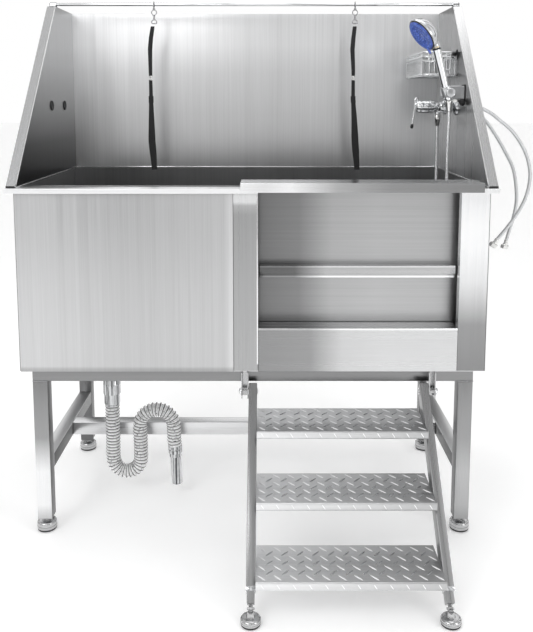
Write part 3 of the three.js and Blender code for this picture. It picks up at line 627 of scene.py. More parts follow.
low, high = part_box("top_frame")
TUBE_WIDTH, TUBE_CORNER = 0.040, 0.0022
side_from, side_to = low.y + TUBE_WIDTH - 0.001, high.y - TUBE_WIDTH + 0.001
for name, finish, corners in (
        ("top_frame_front_bar", tube_x, (low, (high.x, low.y + TUBE_WIDTH, high.z))),
        ("top_frame_back_bar", tube_x, ((low.x, high.y - TUBE_WIDTH, low.z), high)),
        ("top_frame_left_bar", tube_y, ((low.x, side_from, low.z), (low.x + TUBE_WIDTH, side_to, high.z))),
        ("top_frame_right_bar", tube_y, ((high.x - TUBE_WIDTH, side_from, low.z), (high.x, side_to, high.z)))):
    bm = bmesh.new()
    block(bm, *corners, TUBE_CORNER, 3)
    fitted(shown(name, bm, finish), "station", "brushed_tube", "top_frame")
for end in ("front", "back"):
    for side in ("left", "right"):
        low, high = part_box(f"{end}_{side}_leg")
        bm = bmesh.new()
        block(bm, low, high, TUBE_CORNER, 3)
        leg = shown(f"{end}_{side}_leg_tube", bm, painted_light_leg_tubes[side] if end == "front" else shaded_back_tube)
        # Its sideways faces take a darker copy of the steel: painted shade.
        fitted(faced(leg, shaded_tube_side_z, *SIDEWAYS), "station", "brushed_tube", f"{end}_{side}_leg")
        seam = high.z + 0.0002
        for k, (a, b) in enumerate((((low.x, low.y), (high.x, low.y)), ((low.x, high.y), (high.x, high.y)),
                                    ((low.x, low.y), (low.x, high.y)), ((high.x, low.y), (high.x, high.y)))):
            bead = grown(f"{end}_{side}_leg_weld_{k + 1}", bead_recipe, Start=(*a, seam), End=(*b, seam),
                         Ripple=0.0010, Pitch=0.0013, Finish=weld_steel)
            fitted(bead, "station", "brushed_tube")
low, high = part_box("lower_frame")
middle = (low.y + high.y) / 2
cross_from = (low.x + TUBE_WIDTH, middle - TUBE_WIDTH / 2, low.z)
cross_to = (high.x - TUBE_WIDTH, middle + TUBE_WIDTH / 2, high.z)
for name, finish, corners in (
        ("lower_left_bar", tube_y, (low, (low.x + TUBE_WIDTH, high.y, high.z))),
        ("lower_right_bar", tube_y, ((high.x - TUBE_WIDTH, low.y, low.z), high)),
        ("lower_cross_bar", cross_tube, (cross_from, cross_to))):
    bm = bmesh.new()
    block(bm, *corners, TUBE_CORNER, 3)
    bar = shown(name, bm, finish)
    if finish == tube_y:
        # Its sideways faces take a darker copy of the steel: painted shade.
        faced(bar, shaded_tube_side_y, *SIDEWAYS)
    fitted(bar, "station", "brushed_tube", "lower_frame")


# ------------------------------------------------------------------ levelling feet
# A polished steel cup pressed over a black rubber pad, on a threaded stem that screws up into
# an insert in the leg. The cup is turned, with a groove round its middle.
foot_steel = brushed("turned_foot_steel", "Z", 0.52, 0.14, depth=0.5)


def rubbery(name, colour, rough=0.6):
    """Matt black rubber or moulded plastic, a little scuffed."""
    material, tree, place = empty_material(name)
    grain = cloud(tree, place, 400.0, 3.0)
    scuff = cloud(tree, place, 28.0, 4.0)
    tone = ramp(tree, scuff, [(0.3, colour), (0.75, tuple(c * 1.7 + 0.004 for c in colour))])
    shine = spread(tree, scuff, 0.0, 1.0, rough - 0.12, rough + 0.12)
    dent = add(tree, "ShaderNodeBump", {"Height": grain, "Strength": 0.25, "Distance": 0.0002})
    surfaced(tree, {"Base Color": tone, "Roughness": shine, "Normal": dent})
    return material


rubber = rubbery("black_rubber", (0.012, 0.012, 0.013))
chrome = polished("bright_chrome", (0.86, 0.87, 0.88), 0.06)


def thread(radius, start, end, pitch=0.0015, depth=0.0007):
    """The outline of a screw thread, up a stem."""
    outline = []
    for i in range(round((end - start) / pitch)):
        outline += [(radius - depth, start + i * pitch), (radius, start + (i + 0.5) * pitch)]
    return [*outline, (radius - depth, end)]


for end in ("front", "back"):
    for side in ("left", "right"):
        low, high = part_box(f"{end}_{side}_foot")
        place = Matrix.Translation(((low.x + high.x) / 2, (low.y + high.y) / 2, 0))
        bm = bmesh.new()
        turned(bm, [(0.0235, 0.0), (0.0255, 0.0012), (0.0262, 0.0045), (0.0255, 0.0062), (0.020, 0.0064)],
               place, 48)
        pad = shown(f"{end}_{side}_foot_pad", bm, rubber)
        fitted(pad, f"{end}_{side}_foot", "polished_steel")
        bm = bmesh.new()
        turned(bm, [(0.022, 0.0055), (0.0262, 0.0056), (0.0269, 0.0068), (0.0269, 0.0128), (0.0258, 0.0134),
                    (0.0258, 0.0146), (0.0269, 0.0152), (0.0269, 0.0212), (0.0255, 0.0238), (0.0212, 0.0262),
                    (0.0205, 0.0262), (0.0198, 0.0256), (0.0100, 0.0262), (0.0095, 0.0300), (0.0070, 0.0312)],
               place, 48)
        turned(bm, thread(0.0058, 0.028, 0.0885), place, 20)
        cup = shown(f"{end}_{side}_foot_cup", bm, foot_steel)
        fitted(cup, f"{end}_{side}_foot", "polished_steel", f"{end}_{side}_foot")
        bm = bmesh.new()
        turned(bm, [(0.0062, 0.0335), (0.0125, 0.0337), (0.0135, 0.0345), (0.0135, 0.0362), (0.0062, 0.0364)],
               place, 32)
        fitted(shown(f"{end}_{side}_leg_insert", bm, chrome), "station", "polished_steel")


# ------------------------------------------------------------------ basin
# Floor, side walls, back wall and the inner panel behind the door's pocket, all 1.5 mm stainless
# sheet, folded and seam-welded. The walls and inner panel are toned darker than the outside panels, and darker
# still towards the floor: painted shade inside the basin.
def rounded(piece, width, steps=2):
    """Rounds a piece's edges and folds over by a width."""
    ease = piece.modifiers.new("eased_edges", "BEVEL")
    ease.width, ease.segments = width, steps
    ease.limit_method, ease.angle_limit = "ANGLE", math.radians(40)


def eased(node, name, material, width, finish, body="station", steps=2):
    """A frame piece with its sheet edges and folds rounded over."""
    copy = bmesh.new()
    copy.from_mesh(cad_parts[node].data)
    bmesh.ops.remove_doubles(copy, verts=copy.verts, dist=0.00001)
    bmesh.ops.dissolve_limit(copy, angle_limit=math.radians(1.0), verts=copy.verts, edges=copy.edges)
    piece = shown(name, copy, material, 50.0)
    rounded(piece, width, steps)
    return fitted(piece, body, finish, node)


basin_steel = brushed("basin_sheet", "X", 0.82, 0.34)
# Painted shade: the walls' steel is a dark copy, darker towards the bottom and lighter at the rim.
basin_wall_painted_shade = brushed("basin_wall_shaded_sheet", "Z", 0.42, 0.32,
                        [("Z", 0.46, 0.955, [(0.0, 0.7), (0.8, 1.0), (1.0, 1.3)])])
eased("tub_floor", "basin_floor", basin_steel, 0.0005, "brushed_sheet")
for wall in ("left_wall", "right_wall", "back_wall"):
    eased(wall, f"basin_{wall}", basin_wall_painted_shade, 0.0006, "brushed_sheet")
eased("inner_panel", "door_pocket_panel", basin_wall_painted_shade, 0.0005, "brushed_sheet")


# ------------------------------------------------------------------ front panel, posts, sill and rim
# The outside of the tub: a flat panel brushed upright at the left, a channel post at each side of
# the doorway, a sill brushed level under it, and a rim folded down at its outer edge.
def folded(points, thickness, radius, steps=4):
    """The closed outline of a folded sheet: its face's line with every bend rounded, and the
    same line set off to its left by the sheet's thickness."""
    points = [Vector(p) for p in points]
    face, back = [], []
    for i, p in enumerate(points):
        before = (p - points[i - 1]).normalized() if i else None
        after = (points[i + 1] - p).normalized() if i + 1 < len(points) else None
        if before is None or after is None:
            way = after or before
            face.append(p)
            back.append(p + Vector((-way.y, way.x)) * thickness)
            continue
        outer = radius + thickness
        face_inside = before.cross(after) < 0
        face_at, back_at = (radius, outer) if face_inside else (-outer, -radius)
        reach = abs(face_at) / math.cos(before.angle(after) / 2)
        centre = p + (after - before).normalized() * reach
        for k in range(steps + 1):
            left = Vector((-before.y, before.x)).slerp(Vector((-after.y, after.x)), k / steps, None)
            face.append(centre + left * face_at)
            back.append(centre + left * back_at)
    return face + back[::-1]


def pushed(bm, outline, axis, start, end):
    """Pushes a flat outline along X (outline in y, z), Y (x, z) or Z (x, y)."""
    spot = {"X": lambda u, v, w: (w, u, v),
            "Y": lambda u, v, w: (u, w, v),
            "Z": lambda u, v, w: (u, v, w)}[axis]
    skinned(bm, [[bm.verts.new(spot(u, v, w)) for u, v in outline] for w in (start, end)])


SHEET, BEND = 0.0015, 0.0012
SIDES_LOW, SIDES_HIGH = 0.465, 0.953
# Painted light and shade on the front panel: lighter at its left and right edges, a little darker between, and
# much darker along its foot.
panel_painted_light = brushed("panel_sheet_painted_light", "Z", 0.62, 0.30, [
    ("X", -0.614, -0.05, [(0.0, 1.08), (0.3, 1.0), (0.55, 0.93), (0.85, 0.96), (0.965, 0.96), (1.0, 1.2)]),
    ("Z", SIDES_LOW, SIDES_HIGH, [(0.0, 0.60), (0.015, 0.66), (0.03, 0.87), (0.5, 0.98), (1.0, 1.05)])])
# Painted highlight on the centre post: a bright band across it near its top, over a darker sheet below.
post_steel = brushed("post_sheet_upright", "Z", 0.42, 0.28, [
    ("Z", SIDES_LOW, SIDES_HIGH, [
        (0.0, 0.95), (0.5, 0.95), (0.86, 0.9), (0.91, 1.15), (0.93, 1.85), (0.96, 1.85), (1.0, 1.1)])])
# Painted light and shade on the right post: dark towards its foot and bright across its upper half.
right_post_steel = brushed("right_post_painted_light", "Z", 0.72, 0.24, [
    ("Z", SIDES_LOW, SIDES_HIGH, [
        (0.0, 0.34), (0.26, 0.42), (0.5, 1.05), (0.68, 1.3), (0.8, 1.38), (0.95, 1.25)])])
# Painted light and shade on the sill: a bright line of painted highlight along its top edge, and the sheet
# darker towards its left end as painted shade.
sill_painted_light = brushed("sill_sheet_painted_light", "X", 0.62, 0.26, [
    ("Z", SIDES_LOW, 0.583, [(0.0, 1.0), (0.955, 1.0), (0.97, 1.6), (1.0, 1.6)]),
    ("X", 0.015, 0.541, [(0.0, 0.44), (0.26, 0.50), (0.42, 0.92), (0.62, 1.0), (1.0, 0.98)])])
rim_steel = brushed("rim_sheet_level", "X", 0.94, 0.30)
track_steel = brushed("track_sheet_level", "X", 0.45, 0.30)
# A bright polished finish for thin strips that draw edge highlight lines: painted highlight.
painted_highlight_strip = polished("painted_highlight_strip", (0.88, 0.88, 0.89), 0.16)

low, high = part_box("front_panel")
bm = bmesh.new()
pushed(bm, folded([(low.y + 0.020, high.z), (low.y, high.z), (low.y, low.z)], SHEET, BEND), "X", low.x,
       high.x)
fitted(shown("front_panel_sheet", bm, panel_painted_light, 50.0), "station", "brushed_sheet", "front_panel")

low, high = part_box("centre_post")
bm = bmesh.new()
pushed(bm, folded([(low.x, high.y), (low.x, low.y), (high.x, low.y), (high.x, high.y)], SHEET, BEND), "Z",
       low.z, high.z)
fitted(shown("centre_post_channel", bm, post_steel, 50.0), "station", "brushed_sheet", "centre_post")
# A thin hem strip down the post's edge: a real fold, coloured brighter than the sheet as a painted highlight
# line.
bm = bmesh.new()
hem_from = (high.x - 0.0036, low.y - 0.0004, low.z + 0.018)
hem_to = (high.x - 0.0002, low.y + 0.0008, high.z - 0.004)
block(bm, hem_from, hem_to, 0.0004)
fitted(shown("centre_post_hem_highlight", bm, painted_highlight_strip), "station", "brushed_sheet")
eased("right_post", "right_post_channel", right_post_steel, 0.0007, "brushed_sheet")
eased("door_sill", "door_sill_sheet", sill_painted_light, 0.0007, "brushed_sheet")
eased("door_track", "door_track_channel", track_steel, 0.0005, "brushed_sheet")
eased("front_rim", "front_rim_fold", rim_steel, 0.0007, "brushed_sheet")


# ------------------------------------------------------------------ sliding door
# A stiff sheet brushed level that runs in the track behind the posts. A channel across its middle
# stiffens it, and a folded cap straddles the rim as the hand grip.
# Painted light and shade on the door: the sheet dark towards its left as painted shade, lighter across its
# middle and dimmer at its right end; the cap bright at its left and darker to its right; the rail's face with
# painted highlight lines along its top and bottom edges, and darker towards its left.
door_painted_shade = brushed("door_sheet_painted_shade", "X", 0.50, 0.30, [
    ("X", 0.003, 0.553, [(0.0, 0.36), (0.22, 0.48), (0.38, 0.88), (0.6, 0.96), (0.92, 0.92), (1.0, 0.7)])])
cap_light_and_shade = brushed("door_cap_painted_light", "X", 0.66, 0.22, [
    ("X", -0.03, 0.594, [
        (0.0, 1.4), (0.1, 1.25), (0.2, 1.45), (0.4, 0.72), (0.62, 0.5), (0.85, 0.46), (1.0, 0.42)])])
rail_low, rail_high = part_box("door_rail")
rail_steel = brushed("door_rail_painted_light", "X", 0.55, 0.24, [
    ("Z", rail_low.z, rail_high.z, [
        (0.0, 1.0), (0.05, 1.9), (0.14, 1.9), (0.2, 0.95), (0.82, 0.95), (0.9, 1.5), (1.0, 1.5)]),
    ("X", 0.018, 0.538, [(0.0, 0.22), (0.18, 0.26), (0.34, 0.85), (1.0, 0.88)])])
eased("door_panel", "door_panel_sheet", door_painted_shade, 0.0005, "brushed_sheet", "door")
eased("door_rail", "door_rail_channel", rail_steel, 0.0012, "brushed_sheet", "door", 3)
eased("door_cap", "door_cap_fold", cap_light_and_shade, 0.0007, "brushed_sheet", "door", 3)


# ------------------------------------------------------------------ splash guard
# Three brushed sheets that stand on the rim. The sides slope up from the front, and carry a wide
# stiffening flange on a black strip: a seal, and painted shade for the dark gap under the flange. Two spare
# supply holes at the left are stopped with plugs.
RIM_TOP, GUARD_TOP, SIDE_FACE = 0.955, 1.465, 0.6085
# Painted light and shade on the guard's inner faces: the back sheet lighter at both ends and towards the top;
# the left sheet very dark along its foot and light above; the right sheet bright at its foot and darker above;
# the flanges a little lighter at the left. The outer faces keep a plain tone.
guard_back_steel = brushed("guard_back_painted_light", "Z", 0.70, 0.30, [
    ("Z", RIM_TOP, GUARD_TOP, [(0.0, 0.84), (0.35, 0.82), (0.62, 0.90), (0.8, 1.06), (1.0, 1.06)]),
    ("X", -0.61, 0.61, [(0.0, 1.25), (0.25, 1.05), (0.55, 0.98), (0.8, 1.12), (1.0, 1.28)])])
guard_left_steel = brushed("guard_left_painted_shade", "Z", 0.52, 0.30, [
    ("Z", RIM_TOP, GUARD_TOP, [(0.0, 0.10), (0.2, 0.13), (0.42, 0.66), (0.65, 1.05), (1.0, 1.08)])])
guard_right_steel = brushed("guard_right_painted_light", "Z", 0.58, 0.28, [
    ("Z", RIM_TOP, GUARD_TOP, [(0.0, 1.4), (0.3, 0.96), (0.5, 0.72), (0.75, 0.5), (0.9, 0.52), (1.0, 0.5)])])
flange_steel = brushed("guard_flange_painted_light", "YZ", 0.54, 0.26,
                       [("X", -0.62, 0.62, [(0.0, 1.06), (1.0, 0.92)])])
guard_outer_steel = brushed("guard_outer_sheet", "Z", 0.60, 0.30)
for sheet, edge, inner_painted_light, inwards in (
        ("back_guard", 0.0006, guard_back_steel, (0, -1, 0)),
        ("left_guard", 0.0005, guard_left_steel, (1, 0, 0)),
        ("right_guard", 0.0005, guard_right_steel, (-1, 0, 0))):
    faced(eased(sheet, f"{sheet}_sheet", guard_outer_steel, edge, "brushed_guard"), inner_painted_light, inwards)
for side in ("left", "right"):
    eased(f"{side}_guard_flange", f"{side}_guard_flange_fold", flange_steel, 0.0006, "brushed_guard")

back_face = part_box("back_guard")[0].y
left_low, left_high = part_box("left_guard")
SEAL_FROM, SEAM_FROM, SEAM_TOP = RIM_TOP + 0.0001, RIM_TOP + 0.0005, RIM_TOP + 0.0030
# A black strip in the gaps under the flanges, partly seal and partly painted shade for the dark gap line.
bm = bmesh.new()
for x0, x1 in ((-0.634, -0.6105), (0.6105, 0.634)):
    block(bm, (x0, left_low.y + 0.001, SEAL_FROM), (x1, left_high.y, RIM_TOP + 0.0018), 0.0004, 1)
for side in ("left", "right"):
    foot_low, foot_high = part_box(f"{side}_guard_flange")
    block(bm, (foot_low.x + 0.001, foot_low.y - 0.0020, SEAL_FROM),
          (foot_high.x - 0.001, foot_low.y - 0.0001, RIM_TOP + 0.0050), 0.0006, 1)
fitted(shown("guard_seal_and_gap_shade", bm, rubber), "station", "brushed_guard")
# A thin strip along the guard's foot: a real seam on the rim's fold, coloured bright as a painted highlight
# line.
bm = bmesh.new()
block(bm, (-SIDE_FACE, back_face - 0.0022, SEAM_FROM), (SIDE_FACE, back_face - 0.0002, SEAM_TOP), 0.0008)
for x0, x1 in ((-SIDE_FACE, -SIDE_FACE + 0.0022), (SIDE_FACE - 0.0022, SIDE_FACE)):
    block(bm, (x0, left_low.y + 0.003, SEAM_FROM), (x1, back_face - 0.002, SEAM_TOP), 0.0008)
fitted(shown("guard_foot_seam_highlight", bm, painted_highlight_strip), "station", "brushed_guard")
SUPPLY_HOLES = (0.213, 0.358)
for k, y in enumerate(SUPPLY_HOLES):
    bm = bmesh.new()
    turned(bm, [(0.0040, -0.0012), (0.0105, -0.0010), (0.0110, 0.0), (0.0150, 0.0002), (0.0152, 0.0012),
                (0.0140, 0.0026), (0.0112, 0.0030), (0.0098, 0.0020), (0.0030, 0.0018)],
           aimed((-0.6084, y, 1.164), (1, 0, 0)), 36)
    fitted(shown(f"spare_hole_plug_{k + 1}", bm, rubber), "station", "brushed_guard")


# ------------------------------------------------------------------ grooming rod and clips
# A 10 mm chromed rod across the guard's top, held in two bent saddle clips and closed with
# black plastic caps. Each clip is screwed down through both of its ears.
low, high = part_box("grooming_rod")
rod_y, rod_z = (low.y + high.y) / 2, (low.z + high.z) / 2
bm = bmesh.new()
turned(bm, [(0.0046, 0.0), (0.005, 0.0006), (0.005, high.x - low.x - 0.0006), (0.0046, high.x - low.x)],
       aimed((low.x, rod_y, rod_z), (1, 0, 0)), 28)
fitted(shown("grooming_rod_bar", bm, chrome), "station", "chrome_fitting", "grooming_rod")
for side, x, way in (("left", low.x, -1), ("right", high.x, 1)):
    bm = bmesh.new()
    turned(bm, [(0.0052, -0.007), (0.0060, -0.0065), (0.0062, 0.001), (0.0058, 0.0032), (0.0035, 0.0045)],
           aimed((x, rod_y, rod_z), (way, 0, 0)), 24)
    fitted(shown(f"{side}_rod_cap", bm, rubber), "station", "chrome_fitting")
    eased(f"{side}_rod_clip", f"{side}_rod_clip_saddle", chrome, 0.0004, "chrome_fitting")
screw_recipe, given = recipe("cross_screw", Head="Float", Rise="Float", Finish="Material")
dome = add(screw_recipe, "GeometryNodeMeshUVSphere", {"Segments": 14, "Rings": 8, "Radius": given["Head"]})
flat = sums(screw_recipe, "DIVIDE", given["Rise"], given["Head"])
squeeze = add(screw_recipe, "ShaderNodeCombineXYZ", {"X": 1.0, "Y": 1.0, "Z": flat})
head = add(screw_recipe, "GeometryNodeTransform", {"Geometry": dome, "Scale": squeeze})
slots = add(screw_recipe, "GeometryNodeJoinGeometry")
across = sums(screw_recipe, "MULTIPLY", given["Head"], 1.1)
thick = sums(screw_recipe, "MULTIPLY", given["Head"], 0.24)
bar_size = add(screw_recipe, "ShaderNodeCombineXYZ", {"X": across, "Y": thick, "Z": given["Rise"]})
bar = add(screw_recipe, "GeometryNodeMeshCube", {"Size": bar_size})
lift = add(screw_recipe, "ShaderNodeCombineXYZ", {"Z": given["Rise"]})
for turn in (0.0, math.pi / 2):
    placed = {"Geometry": bar, "Translation": lift, "Rotation": (0.0, 0.0, turn)}
    screw_recipe.links.new(add(screw_recipe, "GeometryNodeTransform", placed).outputs[0], slots.inputs[0])
cut = add(screw_recipe, "GeometryNodeMeshBoolean", {0: head, 1: slots}, operation="DIFFERENCE")
served(screw_recipe, cut.outputs["Mesh"])


def screw(name, at, facing, head, finish):
    """A cross-head screw driven in at a point, its head facing a direction."""
    made = grown(name, screw_recipe, Head=head, Rise=head * 0.5, Finish=chrome)
    made.data.transform(aimed(at, facing))
    fitted(made, "station", finish)


for side in ("left", "right"):
    low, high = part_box(f"{side}_rod_clip")
    for k, y in enumerate((low.y + 0.006, high.y - 0.006)):
        ear = ((low.x + high.x) / 2, y, low.z + 0.0018)
        screw(f"{side}_rod_clip_screw_{k + 1}", ear, (0, 0, 1), 0.0034, "chrome_fitting")


# ------------------------------------------------------------------ loops
# A nickel ring slides on the rod and carries a swivel and a bow. A black webbing strap hangs from
# it: two lengths joined by a small ferrule, with a woven slider above the wide padded part.
def woven(name, colour):
    """Plain black webbing; its ribs cross the strap and its edges shine a little."""
    material, tree, place = empty_material(name)
    split = add(tree, "ShaderNodeSeparateXYZ", {"Vector": place}).outputs
    ribs = [sums(tree, "SINE", sums(tree, "MULTIPLY", split[axis], math.tau / pitch))
            for axis, pitch in (("Z", 0.0022), ("X", 0.0018))]
    fuzz = cloud(tree, place, 320.0, 3.0)
    height = sums(tree, "MULTIPLY_ADD", sums(tree, "MULTIPLY", *ribs), 0.35, fuzz)
    tone = ramp(tree, height, [(0.2, times(colour, 0.5)), (0.9, times(colour, 1.6))])
    shine = spread(tree, fuzz, 0.0, 1.0, 0.7, 0.95)
    dent = add(tree, "ShaderNodeBump", {"Height": height, "Strength": 0.5, "Distance": 0.0004})
    surfaced(tree, {"Base Color": tone, "Roughness": shine, "Normal": dent,
                    "Sheen Weight": 0.25, "Sheen Roughness": 0.5})
    return material


webbing = woven("black_webbing", (0.010, 0.010, 0.011))
loop_steel = polished("loop_steel", (0.42, 0.42, 0.43), 0.16)
LOOP_REACH, FERRULE_Z = 0.311, 1.249
# Height and sway to the right of the ring for each strap, then height and half width.
SWAY = {
    -1: [(1.408, -0.005), (1.372, -0.011), (1.337, -0.0145), (1.051, -0.0135), (1.007, -0.010), (0.962, -0.007)],
    1: [(1.408, 0.0), (1.372, -0.004), (1.337, -0.0065), (1.274, -0.003), (1.185, -0.0025), (1.131, 0.0015),
        (1.051, 0.0055), (1.007, 0.009), (0.962, 0.013)]}
HALF_WIDTH = [(1.408, 0.0058), (1.400, 0.0064), (1.341, 0.0070), (1.257, 0.0055), (1.242, 0.0055),
              (1.195, 0.0058), (1.167, 0.0070), (1.118, 0.0090), (1.065, 0.0110), (1.024, 0.0110),
              (0.993, 0.0096), (0.962, 0.0080)]


def at_height(table, z):
    """The value a table of falling heights gives at one height."""
    for (upper, a), (lower, b) in zip(table, table[1:]):
        if z >= lower - 1e-6:
            return a + (b - a) * (upper - z) / (upper - lower)


def strap_length(bm, sign, z0, z1, half=None, thick=0.00145):
    """A flattened tube of webbing between two heights on the strap's swaying line."""
    steps = max(6, round((z0 - z1) / 0.006))
    rings = []
    for i in range(steps + 1):
        z = z0 + (z1 - z0) * i / steps
        x = LOOP_REACH * sign + at_height(SWAY[sign], z)
        reach = half or at_height(HALF_WIDTH, z)
        flat = [(math.cos(a), math.copysign(abs(math.sin(a)) ** 0.5, math.sin(a))) for a in angles(14)]
        rings.append([bm.verts.new((x + reach * u, rod_y + thick * v, z)) for u, v in flat])
    skinned(bm, rings)


wire_recipe, given = recipe("bent_wire", Path="Geometry", Wire="Float", Corner="Float", Finish="Material")
curve = add(wire_recipe, "GeometryNodeMeshToCurve", {"Mesh": given["Path"]})
corners = {"Curve": curve, "Radius": given["Corner"], "Count": 4, "Limit Radius": True}
bent = add(wire_recipe, "GeometryNodeFilletCurve", corners, mode="POLY")
ring = add(wire_recipe, "GeometryNodeCurvePrimitiveCircle", {"Resolution": 10, "Radius": given["Wire"]})
tube = {"Curve": bent, "Profile Curve": ring, "Fill Caps": True}
served(wire_recipe, add(wire_recipe, "GeometryNodeCurveToMesh", tube))


def bent_wires(name, lines, wire, corner, material):
    """Round wires bent along lines of points; a line whose last point is its first is a ring."""
    mesh = bpy.data.meshes.new(name)
    points, edges = [], []
    for run in lines:
        closed = run[0] == run[-1]
        start = len(points)
        points += [tuple(p) for p in (run[:-1] if closed else run)]
        edges += [(k, k + 1) for k in range(start, len(points) - 1)]
        if closed:
            edges.append((len(points) - 1, start))
    mesh.from_pydata(points, edges, [])
    return grown(name, wire_recipe, mesh, Wire=wire, Corner=corner, Finish=material)


for side, sign in (("left", -1), ("right", 1)):
    centre = Vector((LOOP_REACH * sign, rod_y, rod_z))
    ring = [centre + Vector((0, 0.009 * math.sin(a), 0.009 * math.cos(a) - 0.0018)) for a in angles(28)]
    fitted(bent_wires(f"{side}_loop_ring", [[*ring, ring[0]]], 0.0017, 0.0, loop_steel),
           f"{side}_loop_swivel", "chrome_fitting")
    bm = bmesh.new()
    turned(bm, [(0.0024, -0.0170), (0.0040, -0.0162), (0.0040, -0.0125), (0.0016, -0.0112)],
           Matrix.Translation(centre), 24)
    turned(bm, [(0.0030, -0.0465), (0.0036, -0.0435), (0.0026, -0.0420), (0.0030, -0.0360), (0.0042, -0.0350),
                (0.0042, -0.0325), (0.0026, -0.0315)], Matrix.Translation(centre), 24)
    fitted(shown(f"{side}_loop_barrel", bm, loop_steel), f"{side}_loop_swivel", "chrome_fitting",
           f"{side}_loop_swivel")
    eye = [centre + Vector((0.0078 * math.sin(a), 0, 0.0078 * math.cos(a) - 0.0245)) for a in angles(28)]
    fitted(bent_wires(f"{side}_loop_eye", [[*eye, eye[0]]], 0.0016, 0.0, loop_steel),
           f"{side}_loop_swivel", "chrome_fitting")
    bow = [centre + Vector(p) for p in ((0, 0, -0.045), (-0.0070, 0, -0.050), (-0.0078, 0, -0.0580),
                                        (0.0078, 0, -0.0580), (0.0070, 0, -0.050), (0, 0, -0.045))]
    fitted(bent_wires(f"{side}_loop_bow", [bow], 0.0016, 0.0022, loop_steel), f"{side}_loop_swivel",
           "chrome_fitting")
    bm = bmesh.new()
    strap_length(bm, sign, 1.4075, 1.2550)
    strap_length(bm, sign, 1.2430, 0.9620)
    strap_length(bm, sign, 1.1930, 1.1720, 0.0078, 0.0026)
    fitted(shown(f"{side}_loop_webbing", bm, webbing, 60.0), f"{side}_loop_strap", "webbing",
           f"{side}_loop_strap")
    bm = bmesh.new()
    spot = Vector((LOOP_REACH * sign + at_height(SWAY[sign], FERRULE_Z), rod_y, FERRULE_Z))
    turned(bm, [(0.0030, -0.0074), (0.0058, -0.0068), (0.0058, -0.0034), (0.0030, -0.0024), (0.0030, 0.0024),
                (0.0058, 0.0034), (0.0058, 0.0068), (0.0030, 0.0074)],
           Matrix.Translation(spot) @ Matrix.Diagonal((1.0, 0.5, 1.0, 1.0)), 20)
    fitted(shown(f"{side}_loop_ferrule", bm, nickel), f"{side}_loop_strap", "chrome_fitting")


# ------------------------------------------------------------------ mixer
# A chromed brass wall mixer: two eccentric shanks with flanges and hexagon nuts, a cross body,
# a cartridge barrel that stands out towards the tub, and a long swan-neck lever on its front.
def round_bar(bm, a, b, profile, sides=28):
    """A turned bar from a to b; its profile is (way along, radius)."""
    a, b = Vector(a), Vector(b)
    turned(bm, [(r, t * (b - a).length) for t, r in profile], aimed(a, b - a), sides)


mixer_chrome = polished("mixer_chrome", (0.60, 0.61, 0.62), 0.05)
low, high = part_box("mixer_body")
mix_x, mix_y, mix_z = 0.568, 0.2855, 1.160
bm = bmesh.new()
round_bar(bm, (mix_x, low.y, mix_z), (mix_x, high.y, mix_z), [
    (0.0, 0.0090), (0.008, 0.0125), (0.02, 0.0140), (0.075, 0.0142), (0.085, 0.0166), (0.20, 0.0170),
    (0.21, 0.0150), (0.23, 0.0150), (0.24, 0.0170), (0.33, 0.0160), (0.40, 0.0166), (0.60, 0.0166),
    (0.67, 0.0160), (0.76, 0.0170), (0.77, 0.0150), (0.79, 0.0150), (0.80, 0.0170), (0.915, 0.0166),
    (0.925, 0.0142), (0.98, 0.0140), (0.992, 0.0125), (1.0, 0.0090)], 36)
round_bar(bm, (mix_x + 0.006, mix_y, mix_z), (low.x, mix_y, mix_z),
          [(0.0, 0.0160), (0.30, 0.0162), (0.34, 0.0195), (0.50, 0.0200), (0.53, 0.0180), (0.57, 0.0180),
           (0.60, 0.0198), (0.93, 0.0194), (1.0, 0.0180)], 36)
round_bar(bm, (mix_x, mix_y, mix_z), (mix_x, mix_y, mix_z - 0.0238),
          [(0.0, 0.011), (0.60, 0.0105), (0.66, 0.0092), (0.98, 0.0090), (1.0, 0.0084)])
for y in SUPPLY_HOLES:
    round_bar(bm, (mix_x + 0.010, y, mix_z), (0.634, y, mix_z), [
        (0.0, 0.0096), (0.1, 0.0100), (0.98, 0.0098), (1.0, 0.0090)])
    round_bar(bm, (0.5968, y, mix_z), (0.6083, y, mix_z), [
        (0.0, 0.0105), (0.12, 0.0165), (0.4, 0.0215), (0.85, 0.0246), (1.0, 0.0250)], 40)
    turned(bm, [(0.0145, 0.0), (0.0168, 0.0012), (0.0168, 0.0098), (0.0145, 0.0110)],
           aimed((mix_x + 0.0160, y, mix_z), (1, 0, 0)), 6)
fitted(shown("mixer_body_cast", bm, mixer_chrome, 32.0), "station", "chrome_fitting", "mixer_body")

bm = bmesh.new()
round_bar(bm, (0.5155, mix_y, mix_z), (0.4990, mix_y, mix_z), [
    (0.0, 0.0186), (0.2, 0.0190), (0.55, 0.0182), (0.8, 0.0160), (0.93, 0.0120), (1.0, 0.0060)], 36)
neck = smooth_route([(0.5040, mix_y, mix_z + 0.0040), (0.5050, mix_y, mix_z + 0.0160),
                     (0.5035, mix_y, mix_z + 0.0250), (0.4990, mix_y - 0.001, mix_z + 0.0245),
                     (0.4970, mix_y - 0.001, mix_z + 0.010), (0.4945, mix_y - 0.002, mix_z - 0.020),
                     (0.4900, mix_y - 0.004, mix_z - 0.048), (0.4880, mix_y - 0.005, mix_z - 0.0630)], 0.002)
swept(bm, neck, lambda s: 0.0034 - 0.009 * min(s, 0.09) * 0.1, 16)
fitted(shown("mixer_lever_arm", bm, chrome), "mixer_lever", "chrome_fitting", "mixer_lever")
bm = bmesh.new()
turned(bm, [(0.0026, -0.010), (0.0040, -0.0085), (0.0048, -0.003), (0.0046, 0.001), (0.0028, 0.0040)],
       aimed(neck[-1], neck[-1] - neck[-4]), 20)
fitted(shown("mixer_lever_tip", bm, rubber), "mixer_lever", "chrome_fitting")


